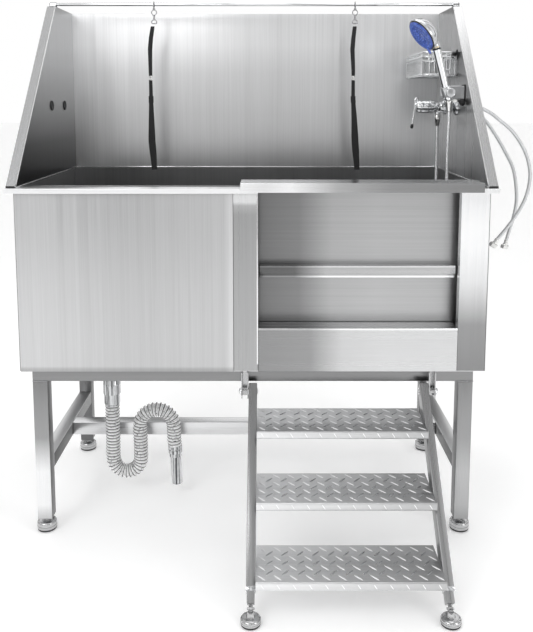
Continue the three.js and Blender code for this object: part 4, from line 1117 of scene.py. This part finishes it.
# ------------------------------------------------------------------ handset holder
# A plated block screwed to the guard with a swivelling clip in front, clamped by a black knob.
def plated(name, colour, metal, rough):
    """Plastic under a thin bright plating, with a soft orange-peel surface."""
    material, tree, place = empty_material(name)
    peel = cloud(tree, place, 160.0)
    patches = cloud(tree, place, 22.0, 3.0)
    tone = ramp(tree, patches, [(0.3, times(colour, 0.93)), (0.7, colour)])
    shine = spread(tree, patches, 0.0, 1.0, rough * 0.75, rough * 1.4)
    dent = add(tree, "ShaderNodeBump", {"Height": peel, "Strength": 0.06, "Distance": 0.0003})
    surfaced(tree, {"Base Color": tone, "Metallic": metal, "Roughness": shine, "Normal": dent,
                    "Coat Weight": 0.35, "Coat Roughness": 0.06})
    return material


pearl_plating = plated("pearl_plating", (0.62, 0.63, 0.64), 0.70, 0.14)
low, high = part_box("holder_base")
hold_x, hold_z, hold_radius = 0.562, 1.202, 0.0193
nose = [math.radians(90 + 180 * k / 20) for k in range(21)]
outline = [(high.x, hold_z + hold_radius),
           *((hold_x + hold_radius * math.cos(a), hold_z + hold_radius * math.sin(a)) for a in nose),
           (high.x, hold_z - hold_radius)]
bm = bmesh.new()
pushed(bm, outline, "Y", low.y, high.y)
base = shown("holder_base_block", bm, pearl_plating, 40.0)
rounded(base, 0.0022, 3)
fitted(base, "station", "plated_plastic", "holder_base")
bm = bmesh.new()
block(bm, (0.6062, low.y - 0.004, hold_z - 0.0230), (0.6083, high.y + 0.004, hold_z + 0.0230), 0.0008, 2)
fitted(shown("holder_wall_plate", bm, rubber), "station", "plated_plastic")
bm = bmesh.new()
block(bm, (0.575, low.y + 0.004, hold_z - 0.0275), (0.604, high.y - 0.004, hold_z - 0.0190), 0.0015, 2)
knob_x, knob_way = 0.5985, (0, -1, -0.35)
turned(bm, [(0.0030, 0.0), (0.0036, 0.0010), (0.0036, 0.0200), (0.0030, 0.0210)],
       aimed((knob_x, low.y + 0.014, hold_z - 0.0215), knob_way), 16)
fitted(shown("holder_clamp_plate", bm, nickel), "station", "plated_plastic")
bm = bmesh.new()
knob_turn = aimed((knob_x, low.y + 0.001, hold_z - 0.0250), knob_way)
turned(bm, [(0.0050, 0.0), (0.0072, 0.0008), (0.0080, 0.0035), (0.0084, 0.0130), (0.0076, 0.0180),
            (0.0046, 0.0200)], knob_turn, 30)
fitted(shown("holder_knob", bm, rubber), "station", "plated_plastic")
knurl_recipe, given = recipe("knob_ribs", Ribs="Int", Reach="Float", Height="Float", Finish="Material")
ringed = add(knurl_recipe, "GeometryNodeMeshCircle", {"Vertices": given["Ribs"], "Radius": given["Reach"]})
rib_sizes = {"Vertices": 6, "Side Segments": 1, "Radius": 0.0011, "Depth": given["Height"]}
rib = add(knurl_recipe, "GeometryNodeMeshCylinder", rib_sizes)
served(knurl_recipe, add(knurl_recipe, "GeometryNodeInstanceOnPoints", {"Points": ringed, "Instance": rib}))
ribs = grown("holder_knob_ribs", knurl_recipe, Ribs=12, Reach=0.0081, Height=0.0110, Finish=rubber)
ribs.data.transform(knob_turn @ Matrix.Translation((0, 0, 0.0076)))
fitted(ribs, "station", "plated_plastic")

# The handle's axis, from its foot to its neck, sets the lie of the clip and the handset.
handle_foot, handle_neck = tub(554, -92, 1180), tub(512, -105, 1330)
handle_way = (handle_neck - handle_foot).normalized()
bm = bmesh.new()
clip_back = aimed((0.560, 0.1178, hold_z), (0, -1, 0))
turned(bm, [(0.0110, 0.0), (0.0136, 0.0010), (0.0140, 0.0035), (0.0140, 0.0170), (0.0128, 0.0190),
            (0.0118, 0.0190)], clip_back, 36)
turned(bm, [(0.0100, 0.0170), (0.0118, 0.0195), (0.0112, 0.0225), (0.0060, 0.0236)], clip_back, 36)
clip_from, clip_to = handle_foot.lerp(handle_neck, 0.065), handle_foot.lerp(handle_neck, 0.255)
run = (clip_to - clip_from).length
turned(bm, [(0.0107, 0.0), (0.0135, 0.0004), (0.0143, 0.0020), (0.0152, run - 0.002), (0.0146, run - 0.0004),
            (0.0113, run)], aimed(clip_from, handle_way), 36)
fitted(shown("holder_clip_cup", bm, pearl_plating, 40.0), "shower_arm", "plated_plastic", "holder_clip")
bm = bmesh.new()
turned(bm, [(0.0120, 0.0), (0.0138, 0.0012), (0.0140, 0.0040), (0.0140, 0.0105), (0.0132, 0.0122),
            (0.0112, 0.0132), (0.0104, 0.0126), (0.0040, 0.0130)], aimed((0.556, 0.0800, 1.2000), (0, -1, 0)),
       36)
fitted(shown("holder_clip_boss", bm, pearl_plating, 40.0), "shower_arm", "plated_plastic")


# ------------------------------------------------------------------ handset and spray plate
# A chromed plastic handset with a round pearly head, a dark inlay down its handle and a brass
# collar at its neck. The blue spray plate turns in the head and is studded with rubber nozzles.
head_at = tub(468.5, -118, 1359)
face_way = Vector((-0.766, -0.228, -0.603)).normalized()
back_way = -face_way
bm = bmesh.new()
turned(bm, [(0.0455, 0.0), (0.0488, -0.0002), (0.0500, 0.0008), (0.0500, 0.0040), (0.0496, 0.0044),
            (0.0496, 0.0050), (0.0499, 0.0054), (0.0490, 0.0085), (0.0484, 0.0088), (0.0484, 0.0094),
            (0.0486, 0.0098), (0.0462, 0.0140), (0.0412, 0.0210), (0.0344, 0.0278), (0.0262, 0.0322),
            (0.0180, 0.0348), (0.0080, 0.0360), (0.0030, 0.0360)], aimed(head_at, back_way), 56)
neck_end = head_at + back_way * 0.018
neck = smooth_route([handle_foot.lerp(handle_neck, 0.90), handle_foot.lerp(handle_neck, 1.0),
                     handle_neck.lerp(neck_end, 0.5), neck_end], 0.003)
swept(bm, neck, lambda s: 0.0112 + 0.0022 * min(1.0, s / 0.045), 28)
fitted(shown("handset_shell", bm, pearl_plating, 40.0), "shower_arm", "plated_plastic", "handset")
length = (handle_neck - handle_foot).length
bm = bmesh.new()
turned(bm, [(0.0070, 0.0), (0.0088, 0.0004), (0.0094, 0.0016), (0.0094, 0.0120), (0.0088, 0.0128),
            (0.0088, 0.0140), (0.0095, 0.0148), (0.0106, length * 0.5), (0.0115, length - 0.012),
            (0.0116, length - 0.002), (0.0108, length + 0.001)], aimed(handle_foot, handle_way), 36)
fitted(shown("handset_handle", bm, chrome, 40.0), "shower_arm", "plated_plastic")
inlay_way = Vector((-1, -0.55, 0))
inlay_way = (inlay_way - handle_way * inlay_way.dot(handle_way)).normalized()
inlay = [handle_foot.lerp(handle_neck, t) + inlay_way * (0.0082 + 0.0020 * t)
         for t in (0.30 + 0.62 * k / 16 for k in range(17))]
bm = bmesh.new()
swept(bm, inlay, 0.0020, 10)
fitted(shown("handset_handle_inlay", bm, rubber), "shower_arm", "plated_plastic")
brass = polished("brass_collar", (0.62, 0.50, 0.30), 0.22)
for name, t0, t1, finish in (("handset_collar_dark", 0.935, 0.972, rubber),
                             ("handset_collar_brass", 0.972, 1.0, brass)):
    bm = bmesh.new()
    a, b = handle_foot.lerp(handle_neck, t0), handle_foot.lerp(handle_neck, t1)
    run = (b - a).length
    turned(bm, [(0.0112, 0.0), (0.0119, 0.0006), (0.0119, run - 0.0006), (0.0112, run)], aimed(a, b - a), 32)
    fitted(shown(name, bm, finish), "shower_arm", "plated_plastic")


def moulded(name, colour, deep):
    """Translucent-looking blue plastic, mottled by the chambers behind it."""
    material, tree, place = empty_material(name)
    cells = add(tree, "ShaderNodeTexVoronoi", {"Vector": place, "Scale": 150.0}).outputs["Distance"]
    mottle = cloud(tree, place, 60.0, 3.0)
    both = sums(tree, "MULTIPLY_ADD", cells, 0.7, sums(tree, "MULTIPLY", mottle, 0.6))
    pale = tuple(min(1.0, c) for c in times(colour, 1.5))
    tone = ramp(tree, both, [(0.25, deep), (0.55, colour), (0.85, pale)])
    shine = spread(tree, mottle, 0.0, 1.0, 0.18, 0.34)
    surfaced(tree, {"Base Color": tone, "Roughness": shine, "Coat Weight": 0.5, "Coat Roughness": 0.1})
    return material


spray_blue = moulded("spray_blue", (0.075, 0.13, 0.48), (0.02, 0.03, 0.20))
nozzle_blue = moulded("nozzle_blue", (0.16, 0.28, 0.70), (0.05, 0.08, 0.35))
facing = aimed(head_at, face_way)
bm = bmesh.new()
turned(bm, [(0.0440, 0.0003), (0.0456, 0.0006), (0.0460, 0.0018), (0.0452, 0.0034), (0.0436, 0.0040),
            (0.0410, 0.0038), (0.0300, 0.0046), (0.0290, 0.0042), (0.0180, 0.0050), (0.0110, 0.0050),
            (0.0100, 0.0044), (0.0010, 0.0047)], facing, 56)
fitted(shown("spray_plate", bm, spray_blue, 50.0), "spray_selector", "blue_plastic", "spray_selector")
bm = bmesh.new()
turned(bm, [(0.0458, 0.0002), (0.0470, 0.0006), (0.0472, 0.0022), (0.0462, 0.0030), (0.0455, 0.0026)],
       facing, 56)
fitted(shown("spray_plate_rim", bm, rubber), "spray_selector", "blue_plastic")
nozzle_recipe, given = recipe("nozzle_rings", Reach="Float", Count="Int", Nozzle="Float", Rise="Float",
                              Finish="Material")
ringed = add(nozzle_recipe, "GeometryNodeMeshCircle", {"Vertices": given["Count"], "Radius": given["Reach"]})
teat_sizes = {"Vertices": 8, "Radius Top": sums(nozzle_recipe, "MULTIPLY", given["Nozzle"], 0.55),
              "Radius Bottom": given["Nozzle"], "Depth": given["Rise"]}
teat = add(nozzle_recipe, "GeometryNodeMeshCone", teat_sizes).outputs["Mesh"]
served(nozzle_recipe, add(nozzle_recipe, "GeometryNodeInstanceOnPoints",
                          {"Points": ringed, "Instance": teat}))
for k, (reach, count) in enumerate(((0.0400, 44), (0.0355, 36), (0.0260, 24), (0.0215, 20), (0.0140, 12),
                                    (0.0070, 6))):
    teats = grown(f"spray_nozzles_{k + 1}", nozzle_recipe, Reach=reach, Count=count, Nozzle=0.0011,
                  Rise=0.0016, Finish=nozzle_blue)
    dish = 0.0008 if reach < 0.028 else 0.0
    teats.data.transform(facing @ Matrix.Translation((0, 0, 0.0040 + 0.0006 + dish)))
    fitted(teats, "spray_selector", "blue_plastic")
tab_way = Vector((-0.3, 0.0, -1.0))
tab_way = (tab_way - face_way * tab_way.dot(face_way)).normalized()
tab_from = head_at + face_way * 0.0028 + tab_way * 0.040
bm = bmesh.new()
swept(bm, [tab_from + tab_way * 0.020 * k / 8 for k in range(9)],
      lambda s: 0.0036 - 0.0008 * abs(s - 0.010) / 0.010, 14)
fitted(shown("spray_selector_tab", bm, spray_blue), "spray_selector", "blue_plastic")


# ------------------------------------------------------------------ wire basket
# Chromed wire, bent and spot-welded: two rails round the top, one round the floor, upright wires
# at the sides and U wires across the front. Two black suction knobs hold it to the guard.
low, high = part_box("wire_basket")
WIRE = 0.0016
x0, x1, y0, y1 = low.x + WIRE, high.x - WIRE, low.y + WIRE, high.y - WIRE
corner = 0.024
z_top, z_low = high.z - 0.003, low.z + 0.002
hoops = [[(x1, y0, z), (x0, y0, z), (x0, y1, z), (x1, y1, z), (x1, y0, z)]
         for z in (z_top, z_top - 0.013, z_low + 0.004)]
fitted(bent_wires("basket_rails", hoops, 0.0026, corner, chrome), "station", "chrome_fitting", "wire_basket")
uprights = []
for k in range(20):
    y = y0 + corner * 0.6 + (y1 - y0 - 1.2 * corner) * k / 19
    uprights.append([(x0, y, z_top), (x0, y, z_low), (x1, y, z_low), (x1, y, z_top - 0.010)])
for k in range(6):
    x = x0 + corner * 0.8 + (x1 - x0 - 1.1 * corner) * k / 5
    uprights.append([(x, y0, z_top - 0.013), (x, y0, z_low), (x, y1, z_low), (x, y1, z_top - 0.013)])
fitted(bent_wires("basket_uprights", uprights, 0.0013, 0.004, chrome), "station", "chrome_fitting")
front = y0 - 0.0006
hooks = []
for x, drop in ((0.524, 0.030), (0.549, 0.044), (0.578, 0.052)):
    hooks.append([(x - 0.006, front, z_top + 0.001), (x - 0.006, front, z_top - drop),
                  (x + 0.006, front, z_top - drop), (x + 0.006, front, z_top + 0.001)])
fitted(bent_wires("basket_front_loops", hooks, 0.0016, 0.004, chrome), "station", "chrome_fitting")
for k, (y, z) in enumerate(((0.228, high.z - 0.010), (0.452, high.z - 0.010))):
    bm = bmesh.new()
    turned(bm, [(0.0170, 0.0), (0.0150, 0.0014), (0.0080, 0.0036), (0.0060, 0.0060), (0.0090, 0.0078),
                (0.0100, 0.0110), (0.0090, 0.0140), (0.0040, 0.0150)], aimed((0.6084, y, z), (-1, 0, 0)), 28)
    fitted(shown(f"basket_suction_knob_{k + 1}", bm, rubber), "station", "chrome_fitting")


# ------------------------------------------------------------------ waste socket and strainer
# A clear-chromed socket hangs under the basin's floor with a clamping flange on top of it. The
# strainer is a pierced dished plate with a lifting knob, and drops into the flange. Its holes are not cut:
# rings of small black studs stand for them, painted shade where the holes show dark.
low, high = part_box("drain_socket")
drain_at = Vector(((low.x + high.x) / 2, (low.y + high.y) / 2, 0))
bm = bmesh.new()
turned(bm, [(0.0180, 0.2865), (0.0226, 0.2862), (0.0230, 0.2872), (0.0230, 0.3150), (0.0234, 0.3160),
            (0.0252, 0.3164), (0.0255, 0.3175), (0.0255, 0.3440), (0.0262, 0.3450), (0.0262, 0.3475),
            (0.0255, 0.3485), (0.0255, 0.4668), (0.0376, 0.4673), (0.0380, 0.4680), (0.0372, 0.4694),
            (0.0260, 0.4695), (0.0180, 0.4680)], Matrix.Translation(drain_at), 48, hollow=True)
fitted(shown("drain_socket_turned", bm, clear_fitting, 40.0), "station", "drain_plastic", "drain_socket")
low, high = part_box("drain_strainer")
bm = bmesh.new()
turned(bm, [(0.0130, 0.0), (0.0148, 0.0006), (0.0150, 0.013), (0.0290, 0.0138), (0.0300, 0.0146),
            (0.0298, 0.0158), (0.0240, 0.0176), (0.0225, 0.0172), (0.0060, 0.0160), (0.0040, 0.0170),
            (0.0035, 0.0205), (0.0062, 0.0225), (0.0062, 0.0248), (0.0040, 0.0258)],
       Matrix.Translation((drain_at.x, drain_at.y, low.z)), 40)
fitted(shown("drain_strainer_plate", bm, chrome), "drain_strainer", "chrome_fitting", "drain_strainer")
# Black studs in rings on the plate: painted shade for its holes.
for k, (reach, count) in enumerate(((0.0110, 10), (0.0155, 14), (0.0200, 18))):
    holes = grown(f"drain_strainer_hole_shade_{k + 1}", nozzle_recipe, Reach=reach, Count=count, Nozzle=0.0015,
                  Rise=0.0006, Finish=rubber)
    holes.data.transform(Matrix.Translation((drain_at.x, drain_at.y, low.z + 0.0166)))
    fitted(holes, "drain_strainer", "chrome_fitting")


# ------------------------------------------------------------------ ladder
# Two slanting rails of 22 x 40 mm tube hang from pins in folded brackets under the front bar.
# Shorter legs slide in them, and end in ball-jointed feet like the frame's own.
LEAN, BALL_HEIGHT = math.radians(42.5), 0.024
hinge = tub(228, -322.3, 410)
lean_turn = Matrix.Rotation(-LEAN, 4, "X")
# Painted light and shade on the ladder rails and legs: lighter towards their feet and darker higher up.
leaning_rail_painted_light = brushed("ladder_rail_painted_light", "YZ", 0.26, 0.28, [
    ("Z", 0.04, 0.44, [(0.0, 1.15), (0.45, 0.95), (1.0, 0.9)]), ("X", 0.0, 0.46, [(0.0, 1.12), (1.0, 1.15)])])
bracket_steel = brushed("ladder_bracket_sheet", "Z", 0.50, 0.26)
for side, sign in (("left", -1), ("right", 1)):
    eased(f"{side}_ladder_bracket", f"{side}_ladder_bracket_fold", bracket_steel, 0.0008, "ladder_steel")
    low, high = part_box(f"{side}_ladder_bracket")
    outer = low.x if sign < 0 else high.x
    screw(f"{side}_bracket_bolt", (outer - sign * 0.010, low.y + 0.0262, 0.449), (0, -1, 0), 0.0042,
          "ladder_steel")
    bm = bmesh.new()
    pin_end = aimed((outer + sign * 0.0002, hinge.y, hinge.z), (sign, 0, 0))
    turned(bm, [(0.0072, 0.0), (0.0084, 0.0008), (0.0084, 0.0046), (0.0072, 0.0056)], pin_end, 6)
    turned(bm, [(0.0110, -0.0002), (0.0112, 0.0004), (0.0110, 0.0010)], pin_end, 28)
    fitted(shown(f"{side}_hinge_pin_nut", bm, chrome), "station", "ladder_steel")
    rail_x = hinge.x + sign * 0.227
    place = Matrix.Translation((rail_x, hinge.y, hinge.z)) @ lean_turn
    bm = bmesh.new()
    block(bm, (-0.011, -0.020, -0.478), (0.011, 0.020, 0.016), 0.0020, 3)
    bm.transform(place)
    fitted(shown(f"{side}_ladder_rail_tube", bm, leaning_rail_painted_light), "ladder", "ladder_steel",
           f"{side}_ladder_rail")
    bm = bmesh.new()
    for x in (-1, 1):
        turned(bm, [(0.0085, 0.0), (0.0095, 0.0004), (0.0095, 0.0012), (0.0062, 0.0016)],
               aimed((x * 0.0110, 0, 0), (x, 0, 0)), 28)
    bm.transform(place)
    fitted(shown(f"{side}_ladder_rail_washers", bm, chrome), "ladder", "ladder_steel")
    bm = bmesh.new()
    block(bm, (-0.0116, -0.0206, -0.4795), (0.0116, 0.0206, -0.4690), 0.0012, 2)
    bm.transform(place)
    fitted(shown(f"{side}_ladder_rail_collar", bm, pearl_plating), "ladder", "ladder_steel")
    bm = bmesh.new()
    block(bm, (-0.0088, -0.0178, -0.5040), (0.0088, 0.0178, -0.3100), 0.0018, 3)
    bm.transform(place)
    fitted(shown(f"{side}_ladder_leg_tube", bm, leaning_rail_painted_light), f"{side}_ladder_leg", "ladder_steel",
           f"{side}_ladder_leg")
    ball = Vector((rail_x, hinge.y - (hinge.z - BALL_HEIGHT) * math.tan(LEAN), 0.0))
    bm = bmesh.new()
    turned(bm, [(0.0205, 0.0), (0.0225, 0.0010), (0.0232, 0.0040), (0.0225, 0.0054), (0.018, 0.0056)],
           Matrix.Translation(ball), 44)
    fitted(shown(f"{side}_ladder_foot_pad", bm, rubber), f"{side}_ladder_foot", "polished_steel")
    bm = bmesh.new()
    turned(bm, [(0.019, 0.0050), (0.0232, 0.0052), (0.0239, 0.0062), (0.0239, 0.0092), (0.0230, 0.0098),
                (0.0230, 0.0106), (0.0239, 0.0112), (0.0238, 0.0142), (0.0225, 0.0162), (0.0182, 0.0188),
                (0.0174, 0.0188), (0.0168, 0.0182), (0.0100, 0.0190), (0.0090, 0.0215), (0.0082, 0.0240),
                (0.0080, 0.0262), (0.0064, 0.0300)], Matrix.Translation(ball), 44)
    stem = aimed(ball + Vector((0, 0, BALL_HEIGHT)), (0, math.sin(LEAN), math.cos(LEAN)))
    turned(bm, thread(0.0050, 0.004, 0.0475), stem, 20)
    turned(bm, [(0.0052, 0.0080), (0.0088, 0.0084), (0.0092, 0.0092), (0.0092, 0.0130), (0.0086, 0.0138),
                (0.0052, 0.0140)], stem, 6)
    fitted(shown(f"{side}_ladder_foot_cup", bm, foot_steel), f"{side}_ladder_foot", "polished_steel",
           f"{side}_ladder_foot")


# ------------------------------------------------------------------ treads
# Chequered plate with raised bars that lean left and right by turns, folded down along both long
# edges and welded between the rails.
# Painted light and shade on the treads: the plate darker towards its right end; the bars that lean left, and the
# lip bars, coloured bright as painted highlight, and the bars that lean right a dark copy as painted shade.
tread_steel = brushed("tread_plate_painted_light", "X", 0.70, 0.36, [
    ("X", 0.012, 0.444, [(0.0, 1.15), (0.25, 1.05), (0.6, 0.9), (1.0, 0.72)])], depth=1.3)
bar_steel = polished("tread_bar_painted_highlight", (0.97, 0.97, 0.98), 0.36, 0.45)
shaded_bar_steel = polished("tread_bar_painted_shade", (0.42, 0.43, 0.44), 0.26)
chequer_recipe, given = recipe("chequer_bars", Across="Float", Deep="Float", Columns="Int", Rows="Int",
                               Lean="Float", Bar="Float", Rise="Float", Finish="Material")
grid = add(chequer_recipe, "GeometryNodeMeshGrid", {"Size X": given["Across"], "Size Y": given["Deep"],
                                                    "Vertices X": given["Columns"],
                                                    "Vertices Y": given["Rows"]})
lozenge = add(chequer_recipe, "GeometryNodeMeshUVSphere", {"Segments": 8, "Rings": 4, "Radius": given["Bar"]})
thin = sums(chequer_recipe, "DIVIDE", given["Rise"], given["Bar"])
squeeze = add(chequer_recipe, "ShaderNodeCombineXYZ", {"X": 1.0, "Y": 0.17, "Z": thin})
shaped = add(chequer_recipe, "GeometryNodeTransform", {"Geometry": lozenge, "Scale": squeeze})
leaning = add(chequer_recipe, "ShaderNodeCombineXYZ", {"Z": given["Lean"]})
rows_of_bars = {"Points": grid, "Instance": shaped, "Rotation": leaning}
served(chequer_recipe, add(chequer_recipe, "GeometryNodeInstanceOnPoints", rows_of_bars))
for name in ("upper", "middle", "lower"):
    low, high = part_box(f"{name}_tread")
    across, deep, top = high.x - low.x, high.y - low.y, high.z
    middle = Vector(((low.x + high.x) / 2, (low.y + high.y) / 2, top - 0.0001))
    bm = bmesh.new()
    pushed(bm, folded([(high.y - 0.008, low.z), (high.y, low.z), (high.y, top), (low.y, top), (low.y, low.z),
                       (low.y + 0.008, low.z)], 0.002, 0.0012), "X", low.x, high.x)
    fitted(shown(f"{name}_tread_plate", bm, tread_steel, 50.0), "ladder", "tread_plate", f"{name}_tread")
    for way, lean, inset, rows, finish in (("left", -47, 0.026, 4, bar_steel),
                                           ("right", 47, 0.062, 3, shaded_bar_steel)):
        bars = grown(f"{name}_tread_bars_{way}", chequer_recipe, Across=across - inset,
                     Deep=(deep - 0.038) * (rows - 1) / 3, Columns=round((across - inset) / 0.0362) + 1,
                     Rows=rows, Lean=math.radians(lean), Bar=0.0140, Rise=0.0014, Finish=finish)
        bars.data.transform(Matrix.Translation(middle))
        fitted(bars, "ladder", "tread_plate")
    lip = grown(f"{name}_tread_lip_bars", chequer_recipe, Across=across - 0.030, Deep=0.0, Columns=12, Rows=1,
                Lean=math.radians(-56), Bar=0.0075, Rise=0.0010, Finish=bar_steel)
    lip_at = Matrix.Translation((middle.x, low.y + 0.0001, top - 0.010))
    lip.data.transform(lip_at @ Matrix.Rotation(math.radians(90), 4, "X"))
    fitted(lip, "ladder", "tread_plate")
